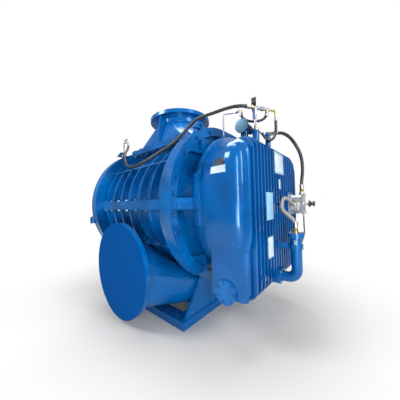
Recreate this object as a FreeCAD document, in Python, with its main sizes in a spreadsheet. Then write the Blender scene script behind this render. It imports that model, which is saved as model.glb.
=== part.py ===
"""Large three-lobe roots blower with a finned gear case and forced lubrication.

X runs along the rotors towards the gear end, -Y is the discharge side, +Z is up.
The origin is the centre of the base's underside. All sizes are in millimetres.
"""
import FreeCAD, Part
import math
import os
import re
from types import SimpleNamespace
import Sketcher

os.makedirs("parts", exist_ok=True)
doc = FreeCAD.newDocument("RootsBlower")
sheet = doc.addObject("Spreadsheet::Sheet", "Sizes")
Vector = FreeCAD.Vector

SIZES = {
    # main frame of the machine
    "rotor_plane": 942,
    "shaft_spacing": 470,
    "rotor_length": 1106,
    "rotor_clearance": 0.5,
    "rotor_bore_clearance": 0.6,
    "rotor_end_gap": 2,
    # lobed rotors and their shafts
    "lobe_count": 3,
    "shaft_core_radius": 75,
    "bearing_seat_radius": 60,
    "gear_seat_radius": 55,
    "drive_stub_radius": 50,
    "drive_seat_length": 178,
    "drive_relief_radius": 47,
    "drive_relief_width": 6,
    "drive_journal_radius": 52.5,
    "drive_cover_gap": 2,
    "key_width": 28,
    "key_depth": 10,
    "key_length": 80,
    "pump_spindle_radius": 16,
    # timing gears
    "gear_teeth": 47,
    "gear_width": 80,
    "gear_gap": 16,
    "gear_backlash": 0.6,
    "gear_nut_radius": 80,
    "gear_nut_width": 26,
    # cast casing
    "barrel_offset": 78,
    "barrel_radius": 510,
    "barrel_wall": 30,
    "bore_wall": 28,
    "rib_radius": 555,
    "rib_thickness": 20,
    "rib_count": 7,
    "end_rib_inset": 117,
    "long_rib_height": 48,
    "end_flange_radius": 635,
    "end_flange_thickness": 40,
    "split_flange_reach": 646,
    "split_flange_height": 37,
    "port_inset": 235,
    "port_half_width": 190,
    "foot_drop": 558,
    "foot_half_width": 238,
    "foot_inset": 71,
    # end plates
    "plate_thickness": 58,
    "plate_bolt_radius": 597,
    "neck_radius": 505,
    "neck_length": 61,
    "pocket_depth": 40,
    "pocket_outer_radius": 568,
    "shelf_thickness": 37,
    "lug_height": 54,
    "lug_thickness": 34,
    # bearings and seals
    "bearing_outer_radius": 130,
    "bearing_width": 50,
    "inner_race_radius": 78,
    "outer_race_radius": 106,
    "roller_count": 9,
    "running_clearance": 0.05,
    "seal_cover_radius": 150,
    "seal_cover_thickness": 12,
    "seal_radius": 82,
    # drive-end cover
    "drive_cover_radius": 170,
    "drive_cover_depth": 147,
    "cover_wall": 14,
    "cover_boss": 14,
    # gear case
    "carrier_radius": 560,
    "carrier_half_width": 545,
    "carrier_thickness": 42,
    "case_half_width": 525,
    "case_back_top": 540,
    "case_front_top": 415,
    "case_corner_back": 470,
    "case_corner_front": 170,
    "case_belly_height": 98,
    "case_depth": 332,
    "case_wall": 14,
    "case_edge_radius": 78,
    "sump_half_width": 480,
    "sump_drop": 591,
    "sump_set_back": 40,
    "fin_count": 19,
    "fin_pitch": 53,
    "fin_thickness": 15,
    "fin_depth": 34,
    "drain_plug_rise": 38,
    "level_plug_drop": 470,
    # sump cover
    "sump_cover_radius": 75,
    "sump_cover_thickness": 14,
    "sump_cover_bolt_radius": 62,
    "sump_cover_bolts": 7,
    "sump_cover_offset": 146,
    "sump_cover_height": 387,
    # inlet nozzle, DN500 PN6 flange
    "inlet_face_height": 1857,
    "inlet_flange_radius": 322.5,
    "inlet_flange_thickness": 34,
    "inlet_bolt_circle": 600,
    "inlet_bolt_count": 20,
    "inlet_hole_radius": 11,
    "inlet_bore_radius": 250,
    "inlet_neck_radius": 266,
    "port_flange_rise": 47,
    "port_flange_thickness": 26,
    "port_flange_near": 377,
    "port_flange_inset_drive": 170,
    "port_flange_inset_gear": 85,
    "nozzle_rib_x": 35,
    "flange_neck_length": 97,
    # discharge nozzle, DN600 PN6 flange
    "discharge_x": 13,
    "discharge_height": 423,
    "discharge_flange_radius": 377.5,
    "discharge_flange_thickness": 36,
    "discharge_face": 741,
    "discharge_bore_radius": 300,
    "discharge_wall": 14,
    "blank_thickness": 12,
    # pedestal and base
    "pedestal_half_width": 240,
    "throat_drop": 72,
    "pedestal_wall": 18,
    "base_overhang": 11,
    "base_width": 1006,
    "base_height": 62,
    "base_rail": 110,
    "anchor_radius": 14,
    "anchor_inset": 55,
    # fasteners
    "bolt_head_radius": 17,
    "bolt_head_height": 13,
    "small_bolt_radius": 8,
    "small_bolt_height": 6,
    # oil pump and filter
    "pump_drop": 28,
    "pump_pad_rise": 12,
    "pump_length": 104,
    "pump_half_width": 46,
    "pump_half_height": 82,
    "pump_pad_half": 62,
    "relief_stem": 34,
    "knob_radius": 26,
    "knob_length": 40,
    "vessel_offset": 118,
    "vessel_y": -52,
    "vessel_radius": 35,
    "vessel_top": 705,
    "vessel_bottom": 470,
    "vessel_flange_radius": 51,
    "vessel_flange_thickness": 14,
    "vessel_elbow_radius": 64,
    "vessel_foot_half": 46,
    "bracket_height": 626,
    "vent_port_rise": 90,
    # pipework on top of the gear case
    "pipe_radius": 10,
    "manifold_set_back": 88,
    "manifold_y": -185,
    "manifold_height": 1585,
    "riser_boss_height": 92,
    "oil_inlet_set_back": 48,
    "oil_inlet_y": -63,
    "manifold_length": 92,
    "gauge_radius": 29,
    "gauge_depth": 30,
    "breather_set_back": 160,
    "breather_y": -262,
    "breather_height": 1484,
    "breather_disc_radius": 50,
    "vent_valve_y": -155,
    "vent_valve_rise": 70,
    "drive_valve_y": -372,
    "drive_valve_height": 1668,
    "oil_cup_reach": 690,
    "oil_cup_height": 764,
    # hoses
    "hose_diameter": 25,
    "slim_hose_diameter": 20,
    "vent_tube_diameter": 10,
}

for row, (alias, value) in enumerate(SIZES.items(), start=1):
    sheet.set(f"A{row}", alias.replace("_", " "))
    sheet.set(f"B{row}", str(value))
    sheet.setAlias(f"B{row}", alias)
doc.recompute()
mm = SimpleNamespace(**{alias: float(sheet.get(alias)) for alias in SIZES})

# Planes along and up the machine, each measured from the rotors outwards
shaft_half = mm.shaft_spacing / 2
casing_half = mm.rotor_length / 2 + mm.rotor_end_gap
foot_half = casing_half - mm.foot_inset
port_half = casing_half - mm.port_inset
port_flange_drive = casing_half - mm.port_flange_inset_drive
port_flange_gear = casing_half - mm.port_flange_inset_gear
rib_pitch = 2 * (casing_half - mm.end_rib_inset) / (mm.rib_count - 1)
plate_end = casing_half + mm.plate_thickness
carrier_start = plate_end + mm.neck_length
carrier_end = carrier_start + mm.carrier_thickness
case_front = carrier_end + mm.case_depth
fin_root = case_front - mm.fin_depth
gear_start = carrier_end + mm.gear_gap
sump_start = carrier_end + mm.sump_set_back
sump_cover_x = carrier_end + mm.sump_cover_offset
pump_start = case_front + mm.pump_pad_rise
vessel_x = case_front + mm.vessel_offset
port_top = mm.rotor_plane + mm.barrel_radius + mm.port_flange_rise
hopper_top = mm.inlet_face_height - mm.flange_neck_length
pump_height = mm.rotor_plane - mm.pump_drop
case_top = mm.rotor_plane + mm.case_front_top
oil_inlet_x = case_front - mm.oil_inlet_set_back
riser = Vector(case_front - mm.manifold_set_back, mm.manifold_y, 0)

# The same planes as expressions, for the pieces bound to the sheet
CASING_END = "rotor_length / 2 + rotor_end_gap"
BASE_HALF = CASING_END + " - foot_inset + base_overhang"
PLATE_END = CASING_END + " + plate_thickness"
SEATS_END = PLATE_END + " + 2 * seal_cover_thickness + 12"
CARRIER_END = PLATE_END + " + neck_length + carrier_thickness"
CASE_FRONT = CARRIER_END + " + case_depth"
GEAR_START = CARRIER_END + " + gear_gap"
JOURNAL_END = PLATE_END + " + drive_cover_depth + cover_boss + drive_cover_gap"
SHAFT_END = JOURNAL_END + " + drive_relief_width + drive_seat_length"

NODES = []
ALIAS = re.compile(r"\b(" + "|".join(sorted(SIZES, key=len, reverse=True)) + r")\b")

# Turns that lay a cylinder's own Z axis along a machine axis.
TURNS = {
    "x": FreeCAD.Rotation(Vector(0, 1, 0), 90),
    "y": FreeCAD.Rotation(Vector(1, 0, 0), -90),
    "z": FreeCAD.Rotation(),
}


def bind(item, prop, text):
    """Bind one property to an expression written in the sheet's aliases."""
    item.setExpression(prop, ALIAS.sub(r"Sizes.\1", text))


def place(item, x, y, z, axis="z"):
    item.Placement = FreeCAD.Placement(Vector(), TURNS[axis])
    for name, text in (("x", x), ("y", y), ("z", z)):
        bind(item, f".Placement.Base.{name}", text)
    return item


def cylinder(name, radius, length, x, y, z, axis):
    item = doc.addObject("Part::Cylinder", name)
    bind(item, "Radius", radius)
    bind(item, "Height", length)
    return place(item, x, y, z, axis)


def box(name, length, width, height, x, y, z):
    item = doc.addObject("Part::Box", name)
    bind(item, "Length", length)
    bind(item, "Width", width)
    bind(item, "Height", height)
    return place(item, x, y, z)


def fuse(name, items):
    item = doc.addObject("Part::MultiFuse", name)
    item.Shapes = items
    return item


def cut(name, base, tools):
    item = doc.addObject("Part::Cut", name)
    item.Base = base
    item.Tool = tools[0] if len(tools) == 1 else fuse(name + "_tools", tools)
    return item


def keep(item, label=None):
    """Mark an object as a finished piece, written to a file under its label."""
    item.Label = label or item.Name
    NODES.append(item)
    return item


def keep_shape(label, shape):
    item = doc.addObject("Part::Feature", label)
    item.Shape = shape
    return keep(item)


# Plain solids used by the cast and welded pieces.
def rod(radius, start, end):
    way = end - start
    return Part.makeCylinder(radius, way.Length, start, way)


def block(x0, x1, y0, y1, z0, z1):
    return Part.makeBox(x1 - x0, y1 - y0, z1 - z0, Vector(x0, y0, z0))


def prism(points, way):
    wire = Part.makePolygon([Vector(*p) for p in points + points[:1]])
    return Part.Face(wire).extrude(way)


def group(shapes):
    return Part.makeCompound(shapes)


def merged(shapes):
    return shapes[0].multiFuse(shapes[1:]).removeSplitter()


def drum(offset, radius, x0, x1, height=None):
    """Straight-sided drum: two arcs about Y = -offset and +offset, joined by flats."""
    z = mm.rotor_plane if height is None else height
    right = Part.Arc(Vector(x0, offset, z + radius), Vector(x0, offset + radius, z), Vector(x0, offset, z - radius))
    left = Part.Arc(Vector(x0, -offset, z - radius), Vector(x0, -offset - radius, z), Vector(x0, -offset, z + radius))
    low = Part.LineSegment(right.EndPoint, left.StartPoint)
    top = Part.LineSegment(left.EndPoint, right.StartPoint)
    wire = Part.Wire([edge.toShape() for edge in (right, low, left, top)])
    return Part.Face(wire).extrude(Vector(x1 - x0, 0, 0))


def hex_prism(across_corner, start, way, length):
    """Hexagon head standing on start and rising along way."""
    axis = Vector(way).normalize()
    turn = FreeCAD.Rotation(Vector(0, 0, 1), axis)
    corners = [turn.multVec(Vector(across_corner * math.cos(a), across_corner * math.sin(a), 0)) + start
               for a in (math.radians(60 * k) for k in range(7))]
    return Part.Face(Part.makePolygon(corners)).extrude(axis * length)


def bolt(start, way, head=None):
    """Hexagon bolt head on a face."""
    radius = head or mm.bolt_head_radius
    return hex_prism(radius, start, Vector(*way), radius * mm.bolt_head_height / mm.bolt_head_radius)


CASING_BOX = 2000
UPPER = block(-CASING_BOX, CASING_BOX, -CASING_BOX, CASING_BOX, mm.rotor_plane, mm.rotor_plane + CASING_BOX)
LOWER = block(-CASING_BOX, CASING_BOX, -CASING_BOX, CASING_BOX, mm.rotor_plane - CASING_BOX, mm.rotor_plane)


# Three-lobe rotors with conjugate cycloid flanks
def rotor_outline():
    """Lobes that roll in the other rotor's hollows, set back by the running clearance."""
    pitch = shaft_half
    lobes = int(mm.lobe_count)
    roller = pitch / (2 * lobes)
    quarter = math.pi / (2 * lobes)
    steps = 12
    nudge = 0.002

    def tip(angle):
        reach = pitch + roller
        turn = angle * reach / roller
        return (reach * math.cos(angle) - roller * math.cos(turn),
                reach * math.sin(angle) - roller * math.sin(turn))

    def hollow(angle):
        reach = pitch - roller
        turn = angle * reach / roller
        return (reach * math.cos(angle) + roller * math.cos(turn),
                reach * math.sin(angle) - roller * math.sin(turn))

    edges = []
    for k in range(2 * lobes):
        curve = tip if k % 2 == 0 else hollow
        spin = (2 * k - 1) * quarter
        points = []
        for step in range(steps + 1):
            angle = 2 * quarter * step / steps
            before = curve(max(angle - nudge, 0))
            after = curve(min(angle + nudge, 2 * quarter))
            y, z = curve(angle)
            along = Vector(0, after[0] - before[0], after[1] - before[1]).normalize()
            inward = Vector(0, -along.z, along.y)
            y += inward.y * mm.rotor_clearance
            z += inward.z * mm.rotor_clearance
            points.append(Vector(0, y * math.cos(spin) - z * math.sin(spin), y * math.sin(spin) + z * math.cos(spin)))
        edges.append(points)
    for before, after in zip(edges, edges[1:] + edges[:1]):
        before[-1] = after[0]
    return edges


def rotor_shape(y):
    """One rotor about its own shaft."""
    wires = []
    for points in rotor_outline():
        curve = Part.BSplineCurve()
        curve.interpolate([Vector(-mm.rotor_length / 2, p.y, p.z) for p in points])
        wires.append(curve.toShape())
    face = Part.Face(Part.Wire(wires))
    solid = face.extrude(Vector(mm.rotor_length, 0, 0))
    solid.translate(Vector(0, y, mm.rotor_plane))
    core = rod(mm.shaft_core_radius, Vector(-mm.rotor_length, y, mm.rotor_plane),
               Vector(mm.rotor_length, y, mm.rotor_plane))
    return solid.cut(core)


tip_radius = shaft_half * (1 + 1 / mm.lobe_count)
bore_radius = tip_radius + mm.rotor_bore_clearance

for side, y in (("front", -shaft_half), ("rear", shaft_half)):
    keep_shape(f"{side}_rotor", rotor_shape(y))


# Shafts: a thick core under the rotor, bearing seats, a gear seat and the driven end
for side, sign in (("front", "-"), ("rear", "+")):
    y = f"{sign}shaft_spacing / 2"
    steps = [
        cylinder(f"{side}_core", "shaft_core_radius", "rotor_length", "-rotor_length / 2", y, "rotor_plane", "x"),
        cylinder(f"{side}_seats", "bearing_seat_radius", f"2 * ({SEATS_END})", f"-({SEATS_END})", y, "rotor_plane",
                 "x"),
        cylinder(f"{side}_gear_seat", "gear_seat_radius",
                 f"{GEAR_START} + gear_width + gear_nut_width + 8 - ({CASING_END})", CASING_END, y, "rotor_plane",
                 "x"),
    ]
    if side == "rear":
        steps.append(cylinder("drive_journal", "drive_journal_radius", f"{JOURNAL_END} - ({CASING_END})",
                              f"-({JOURNAL_END})", y, "rotor_plane", "x"))
        steps.append(cylinder("drive_relief", "drive_relief_radius", "drive_relief_width",
                              f"-({JOURNAL_END} + drive_relief_width)", y, "rotor_plane", "x"))
        steps.append(cylinder("drive_stub", "drive_stub_radius", "drive_seat_length", f"-({SHAFT_END})", y,
                              "rotor_plane", "x"))
        steps.append(cylinder("pump_spindle", "pump_spindle_radius", "case_depth - gear_gap + pump_pad_rise + 24",
                              GEAR_START, y, "rotor_plane", "x"))
    if side == "front":
        keep(fuse("front_shaft", steps))
    else:
        keyway = box("keyway", "key_length", "key_width", "key_depth + 2", f"-({SHAFT_END})",
                     "shaft_spacing / 2 - key_width / 2", "rotor_plane - drive_stub_radius - 2")
        keep(cut("rear_shaft", fuse("rear_steps", steps), [keyway]))


# Timing gears with involute flanks
def gear_shape(y):
    teeth = int(mm.gear_teeth)
    module = mm.shaft_spacing / teeth
    pitch = mm.shaft_spacing / 2
    base = pitch * math.cos(math.radians(20))
    half_tooth = math.pi / (2 * teeth) - mm.gear_backlash / (2 * pitch)

    def flank(radius):
        """Half angle of the tooth at this radius."""
        def involute(r):
            grip = math.acos(min(1, base / r))
            return math.tan(grip) - grip
        return half_tooth + involute(pitch) - involute(radius)

    radii = [pitch - 1.2 * module, pitch, pitch + 0.9 * module]
    radii[0] = max(radii[0], base)
    points = []
    for k in range(teeth):
        middle = 2 * math.pi * k / teeth
        for radius in radii:
            points.append((radius, middle - flank(radius)))
        for radius in reversed(radii):
            points.append((radius, middle + flank(radius)))
    x = gear_start
    ring = [(x, y + r * math.cos(a), mm.rotor_plane + r * math.sin(a)) for r, a in points]
    solid = prism(ring, Vector(mm.gear_width, 0, 0))
    axis_start = Vector(x - 1, y, mm.rotor_plane)
    axis_end = Vector(x + mm.gear_width + 1, y, mm.rotor_plane)
    solid = solid.cut(rod(mm.gear_seat_radius, axis_start, axis_end))
    web = mm.gear_width * 0.28
    for start in (x, x + mm.gear_width - web):
        ring_cut = rod(base - 3.5 * module, Vector(start, y, mm.rotor_plane), Vector(start + web, y, mm.rotor_plane))
        hub = rod(1.7 * mm.gear_seat_radius, Vector(start, y, mm.rotor_plane), Vector(start + web, y, mm.rotor_plane))
        solid = solid.cut(ring_cut.cut(hub))
    return solid


for side, y in (("front", -shaft_half), ("rear", shaft_half)):
    keep_shape(f"{side}_timing_gear", gear_shape(y))
for side, sign in (("front", "-"), ("rear", "+")):
    y = f"{sign}shaft_spacing / 2"
    nut = cylinder(f"{side}_nut_blank", "gear_nut_radius", "gear_nut_width",
                   f"{GEAR_START} + gear_width", y, "rotor_plane", "x")
    hole = cylinder(f"{side}_nut_hole", "gear_seat_radius", "gear_nut_width + 2",
                    f"{GEAR_START} + gear_width - 1", y, "rotor_plane", "x")
    keep(cut(f"{side}_gear_nut", nut, [hole]))


# Bearings, seal covers and seals at both ends of both shafts
def ring_x(inner, outer, x0, x1, y):
    z = mm.rotor_plane
    return rod(outer, Vector(x0, y, z), Vector(x1, y, z)).cut(rod(inner, Vector(x0 - 1, y, z), Vector(x1 + 1, y, z)))


def both_ends(make):
    """Make one piece at the gear end and its mirror at the drive end, for one or both shafts."""
    return [make(end, y) for end in (1, -1) for y in (-shaft_half, shaft_half)]


bearing_inside = plate_end - mm.bearing_width


def outer_race(end, y):
    x0, x1 = sorted((end * bearing_inside, end * plate_end))
    return ring_x(mm.outer_race_radius, mm.bearing_outer_radius - 0.02, x0, x1, y)


def race_rollers(end, y):
    radius = (mm.outer_race_radius - mm.inner_race_radius) / 2 - mm.running_clearance
    circle = (mm.outer_race_radius + mm.inner_race_radius) / 2
    x0 = end * (bearing_inside + 8)
    x1 = end * (plate_end - 8)
    rollers = []
    for k in range(int(mm.roller_count)):
        angle = 2 * math.pi * k / mm.roller_count
        yc = y + circle * math.cos(angle)
        zc = mm.rotor_plane + circle * math.sin(angle)
        rollers.append(rod(radius, Vector(x0, yc, zc), Vector(x1, yc, zc)))
    return group(rollers)


def seal_cover(end, y):
    x0, x1 = sorted((end * plate_end, end * (plate_end + mm.seal_cover_thickness)))
    return ring_x(mm.seal_radius, mm.seal_cover_radius, x0, x1, y)


def seal(end, y):
    x0, x1 = sorted((end * plate_end, end * (plate_end + mm.seal_cover_thickness - 2)))
    return ring_x(mm.bearing_seat_radius + mm.running_clearance, mm.seal_radius, x0, x1, y)


keep_shape("bearing_outer_rings", group(both_ends(outer_race)))
keep_shape("bearing_rollers", group([roller for race in both_ends(race_rollers) for roller in race.Solids]))
keep_shape("bearing_covers", group(both_ends(seal_cover)))
keep_shape("shaft_seals", group(both_ends(seal)))
for side, y in (("front", -shaft_half), ("rear", shaft_half)):
    rings = [ring_x(mm.bearing_seat_radius, mm.inner_race_radius, *sorted((e * bearing_inside, e * plate_end)), y)
             for e in (1, -1)]
    keep_shape(f"{side}_inner_rings", group(rings))


# Cast casing: twin-bore shell with ribs, split at the rotor plane
def casing_solid():
    half = casing_half
    z = mm.rotor_plane
    shell = [drum(mm.barrel_offset, mm.barrel_radius, -half, half)]
    for end in (-1, 1):
        x0, x1 = sorted((end * half, end * (half - mm.end_flange_thickness)))
        shell.append(drum(mm.barrel_offset, mm.end_flange_radius, x0, x1))
    middle = (mm.rib_count - 1) / 2
    for k in range(int(mm.rib_count)):
        x = (k - middle) * rib_pitch
        shell.append(drum(mm.barrel_offset, mm.rib_radius, x - mm.rib_thickness / 2, x + mm.rib_thickness / 2))
    reach = mm.split_flange_reach
    shell.append(block(-half, half, -reach, reach, z - mm.split_flange_height, z + mm.split_flange_height))
    # lengthwise ribs on the shoulders of the barrel
    for side in (-1, 1):
        for slope in (38, -38):
            rib = block(-half, half, mm.barrel_radius - 10, mm.barrel_radius + mm.long_rib_height, -9, 9)
            rib.rotate(Vector(), Vector(1, 0, 0), slope)
            if side < 0:
                rib.rotate(Vector(), Vector(0, 0, 1), 180)
            rib.translate(Vector(0, side * mm.barrel_offset, z))
            shell.append(rib)
    # rectangular inlet pad on top and the foot below
    top = port_top
    shell.append(block(-port_flange_drive, port_flange_gear, -mm.port_flange_near, mm.port_flange_near,
                       top - mm.port_flange_thickness, top))
    shell.append(block(-port_flange_drive + 40, port_flange_gear - 40, -mm.port_flange_near + 70,
                       mm.port_flange_near - 70, top - 120, top))
    shell.append(block(-foot_half, foot_half, -mm.foot_half_width, mm.foot_half_width,
                       z - mm.foot_drop, z - mm.barrel_radius + 40))
    outside = shell[0].multiFuse(shell[1:])

    bores = [rod(bore_radius, Vector(-half - 1, y, z), Vector(half + 1, y, z)) for y in (-shaft_half, shaft_half)]
    inner = mm.barrel_radius - mm.barrel_wall
    room = drum(mm.barrel_offset, inner, -half + mm.end_flange_thickness, half - mm.end_flange_thickness)
    walls = [rod(bore_radius + mm.bore_wall, Vector(-half, y, z), Vector(half, y, z))
             for y in (-shaft_half, shaft_half)]
    room = room.cut(walls[0].fuse(walls[1]))
    port = block(-port_half, port_half, -mm.port_half_width, mm.port_half_width,
                 z - mm.foot_drop - 1, top + 1)
    return outside.cut(bores[0].multiFuse([bores[1], room, port]))


casing = casing_solid()
keep_shape("upper_casing", casing.common(UPPER))
keep_shape("lower_casing", casing.common(LOWER))

# Bolts along the split flange, between the ribs, with nuts below
split_bolts = []
for side in (-1, 1):
    y = side * (mm.split_flange_reach - 26)
    for k in range(int(mm.rib_count) + 1):
        x = (k - mm.rib_count / 2) * rib_pitch
        x = max(-casing_half + 62, min(casing_half - 62, x))
        split_bolts.append(bolt(Vector(x, y, mm.rotor_plane + mm.split_flange_height), (0, 0, 1)))
        split_bolts.append(bolt(Vector(x, y, mm.rotor_plane - mm.split_flange_height), (0, 0, -1)))
keep_shape("split_flange_bolts", group(split_bolts))


# End plates: ribbed carriers for the bearings, split with the casing
def pockets(x0, x1):
    """Annular pockets between the bolting rim and the neck, divided by shelves."""
    z = mm.rotor_plane
    pocket = drum(mm.barrel_offset, mm.pocket_outer_radius, x0, x1).cut(
        rod(mm.neck_radius, Vector(x0 - 1, 0, z), Vector(x1 + 1, 0, z)))
    gap = mm.shelf_thickness
    shelves = [block(x0 - 1, x1 + 1, -CASING_BOX, CASING_BOX, z - gap, z + gap)]
    for level in (-1, 1):
        shelf = z + level * 0.68 * mm.pocket_outer_radius
        shelves.append(block(x0 - 1, x1 + 1, -CASING_BOX, CASING_BOX, shelf - 11, shelf + 11))
        for side in (-1, 1):
            y = side * 0.62 * mm.pocket_outer_radius
            y0, y1 = sorted((y, y + side * 22))
            far = z + level * CASING_BOX
            z0, z1 = sorted((shelf, far))
            shelves.append(block(x0 - 1, x1 + 1, y0, y1, z0, z1))
    return pocket.cut(shelves[0].multiFuse(shelves[1:]))


def lug(x, y):
    """Lifting ear with an eye, standing on the rim of an end plate."""
    z = mm.rotor_plane + mm.end_flange_radius - 70
    half = 62
    outline = [(x, y - half, z), (x, y + half, z), (x, y + 20, z + mm.lug_height), (x, y - 20, z + mm.lug_height)]
    ear = prism(outline, Vector(mm.lug_thickness, 0, 0))
    eye = rod(15, Vector(x - 1, y, z + mm.lug_height - 32),
              Vector(x + mm.lug_thickness + 1, y, z + mm.lug_height - 32))
    return ear.cut(eye)


def end_plate(end):
    z = mm.rotor_plane
    start = casing_half
    outer = start + mm.plate_thickness
    neck = outer + mm.neck_length
    plate = [drum(mm.barrel_offset, mm.end_flange_radius, start, outer)]
    for y in (-380, 380):
        plate.append(lug(outer - mm.lug_thickness, y))
    if end > 0:
        plate.append(rod(mm.neck_radius, Vector(start, 0, z), Vector(neck, 0, z)))
        for side in (-1, 1):
            y0, y1 = sorted((side * (mm.neck_radius - 30), side * (mm.barrel_offset + mm.end_flange_radius - 20)))
            plate.append(block(outer - 10, neck, y0, y1, z - mm.shelf_thickness, z + mm.shelf_thickness))
    solid = plate[0].multiFuse(plate[1:])
    cuts = [pockets(outer - mm.pocket_depth, outer + 1)]
    for y in (-shaft_half, shaft_half):
        cuts.append(rod(mm.bearing_outer_radius, Vector(bearing_inside, y, z), Vector(outer, y, z)))
        cuts.append(rod(mm.bearing_seat_radius + 2, Vector(start - 1, y, z), Vector(outer, y, z)))
        if end > 0:
            cuts.append(rod(mm.gear_nut_radius + 110, Vector(outer, y, z), Vector(neck + 1, y, z)))
    solid = solid.cut(cuts[0].multiFuse(cuts[1:]))
    if end < 0:
        solid = solid.mirror(Vector(), Vector(1, 0, 0))
    return solid


for name, end in (("gear_end", 1), ("drive_end", -1)):
    plate = end_plate(end)
    keep_shape(f"{name}_plate_upper", plate.common(UPPER))
    keep_shape(f"{name}_plate_lower", plate.common(LOWER))

# Ring of bolts through the rim of each end plate
plate_bolts = []
for end in (-1, 1):
    for side in (-1, 1):
        for angle in (-72, -54, -36, -18, -7, 7, 18, 36, 54, 72):
            turn = math.radians(angle)
            y = side * (mm.barrel_offset + mm.plate_bolt_radius * math.cos(turn))
            z = mm.rotor_plane + mm.plate_bolt_radius * math.sin(turn)
            plate_bolts.append(bolt(Vector(end * plate_end, y, z), (end, 0, 0)))
keep_shape("end_plate_bolts", group(plate_bolts))


# Drive-end cover with the opening for the driven shaft
def drive_cover():
    start = -plate_end
    end = start - mm.drive_cover_depth
    wall = mm.cover_wall
    outer = drum(shaft_half, mm.drive_cover_radius, end, start)
    rim = drum(shaft_half, mm.drive_cover_radius + 28, start - 20, start)
    inner = drum(shaft_half, mm.drive_cover_radius - wall, end + wall, start + 1)
    hole = rod(mm.drive_journal_radius + 0.08, Vector(end - mm.cover_boss - 1, shaft_half, mm.rotor_plane),
               Vector(start, shaft_half, mm.rotor_plane))
    boss = rod(mm.drive_stub_radius + 38, Vector(end - mm.cover_boss, shaft_half, mm.rotor_plane),
               Vector(end + wall, shaft_half, mm.rotor_plane))
    return outer.multiFuse([rim, boss]).cut(inner.fuse(hole))


keep_shape("drive_end_cover", drive_cover())


# Gear-case carrier ring, bolted over the neck of the gear-end plate
def carrier_ring():
    z = mm.rotor_plane
    x0, x1 = carrier_start, carrier_end
    disc = rod(mm.carrier_radius, Vector(x0, 0, z), Vector(x1, 0, z))
    cheeks = block(x0, x1, -mm.carrier_half_width, mm.carrier_half_width, z - 146, z + 200)
    opening = drum(shaft_half, 200, x0 - 1, x1 + 1)
    return disc.fuse(cheeks).cut(opening)


keep_shape("gear_carrier_ring", carrier_ring())


# Finned gear case with its oil sump
def case_wire(x, top, corner, inset):
    """Section of the case: a rounded top and a round belly that curves in to the sump."""
    z = mm.rotor_plane
    half = mm.case_half_width - inset
    high = z + top - inset
    big = mm.case_corner_back - inset
    belly = z - mm.case_belly_height
    r = max(corner - inset, 5)
    turn = math.sqrt(0.5)

    def arc(yc, zc, radius, start, middle, end):
        return Part.Arc(*[Vector(x, yc + radius * cy, zc + radius * cz) for cy, cz in (start, middle, end)])

    arcs = [
        arc(half - r, high - r, r, (0, 1), (turn, turn), (1, 0)),
        arc(half - big, belly, big, (1, 0), (turn, -turn), (0, -1)),
        arc(big - half, belly, big, (0, -1), (-turn, -turn), (-1, 0)),
        arc(r - half, high - r, r, (-1, 0), (-turn, turn), (0, 1)),
    ]
    edges = []
    for k, piece in enumerate(arcs):
        edges.append(piece.toShape())
        edges.append(Part.makeLine(piece.EndPoint, arcs[(k + 1) % 4].StartPoint))
    return Part.Wire(edges)


def rounded_front(solid, x, radius):
    """Round the edges of the face that looks along +X at x."""
    edges = [e for e in solid.Edges if all(abs(v.X - x) < 0.01 for v in e.Vertexes)]
    return solid.makeFillet(radius, edges)


def case_body(front, inset):
    start = carrier_end
    blend = front - 105
    back = case_wire(start, mm.case_back_top, mm.case_corner_back, inset)
    face = case_wire(blend, mm.case_front_top, mm.case_corner_front, inset)
    shoulders = Part.makeLoft([back, face], True, True)
    nose = Part.Face(face).extrude(Vector(front - blend, 0, 0))
    z = mm.rotor_plane
    half = mm.sump_half_width - inset
    sump = block(sump_start + inset, front, -half, half, z - mm.sump_drop + inset, z - 200)
    nose = rounded_front(nose, front, mm.case_edge_radius - inset)
    sump = rounded_front(sump, front, mm.case_edge_radius - inset)
    return shoulders.multiFuse([nose, sump])


def fins():
    z = mm.rotor_plane
    envelope = case_body(case_front, 0)
    blades = []
    middle = (mm.fin_count - 1) / 2
    for k in range(int(mm.fin_count)):
        y = (k - middle) * mm.fin_pitch
        blades.append(block(fin_root - mm.case_edge_radius, case_front, y - mm.fin_thickness / 2,
                            y + mm.fin_thickness / 2, z - mm.sump_drop, z + mm.case_front_top))
    return envelope.common(group(blades))


def gear_case():
    z = mm.rotor_plane
    solid = case_body(fin_root, 0).fuse(fins())
    inner = case_body(fin_root - mm.case_wall, mm.case_wall)
    solid = solid.cut(inner)
    pad = block(fin_root - 5, pump_start, shaft_half - mm.pump_pad_half, shaft_half + mm.pump_pad_half,
                pump_height - 100, pump_height + 100)
    foot = mm.vessel_foot_half
    pipe_z = mm.vessel_bottom - mm.vessel_elbow_radius
    lower_pad = block(fin_root - 5, case_front + 6, mm.vessel_y - foot, mm.vessel_y + foot,
                      pipe_z - foot, pipe_z + foot)
    rail = block(fin_root - 5, case_front + 4, mm.vessel_y - 26, mm.vessel_y + 26,
                 mm.bracket_height - 26, mm.bracket_height + 26)
    top = z + mm.case_front_top
    riser_boss = rod(24, Vector(riser.x, riser.y, top - 8),
                     Vector(riser.x, riser.y, top + mm.riser_boss_height))
    inlet_boss = rod(19, Vector(oil_inlet_x, mm.oil_inlet_y, top - 8),
                     Vector(oil_inlet_x, mm.oil_inlet_y, top + mm.riser_boss_height + 6))
    solid = solid.multiFuse([pad, lower_pad, rail, riser_boss, inlet_boss])
    drive = rod(mm.pump_spindle_radius + 4, Vector(fin_root - 60, shaft_half, z),
                Vector(pump_start + 1, shaft_half, z))
    return solid.cut(drive)


keep_shape("gear_case", gear_case())

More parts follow.
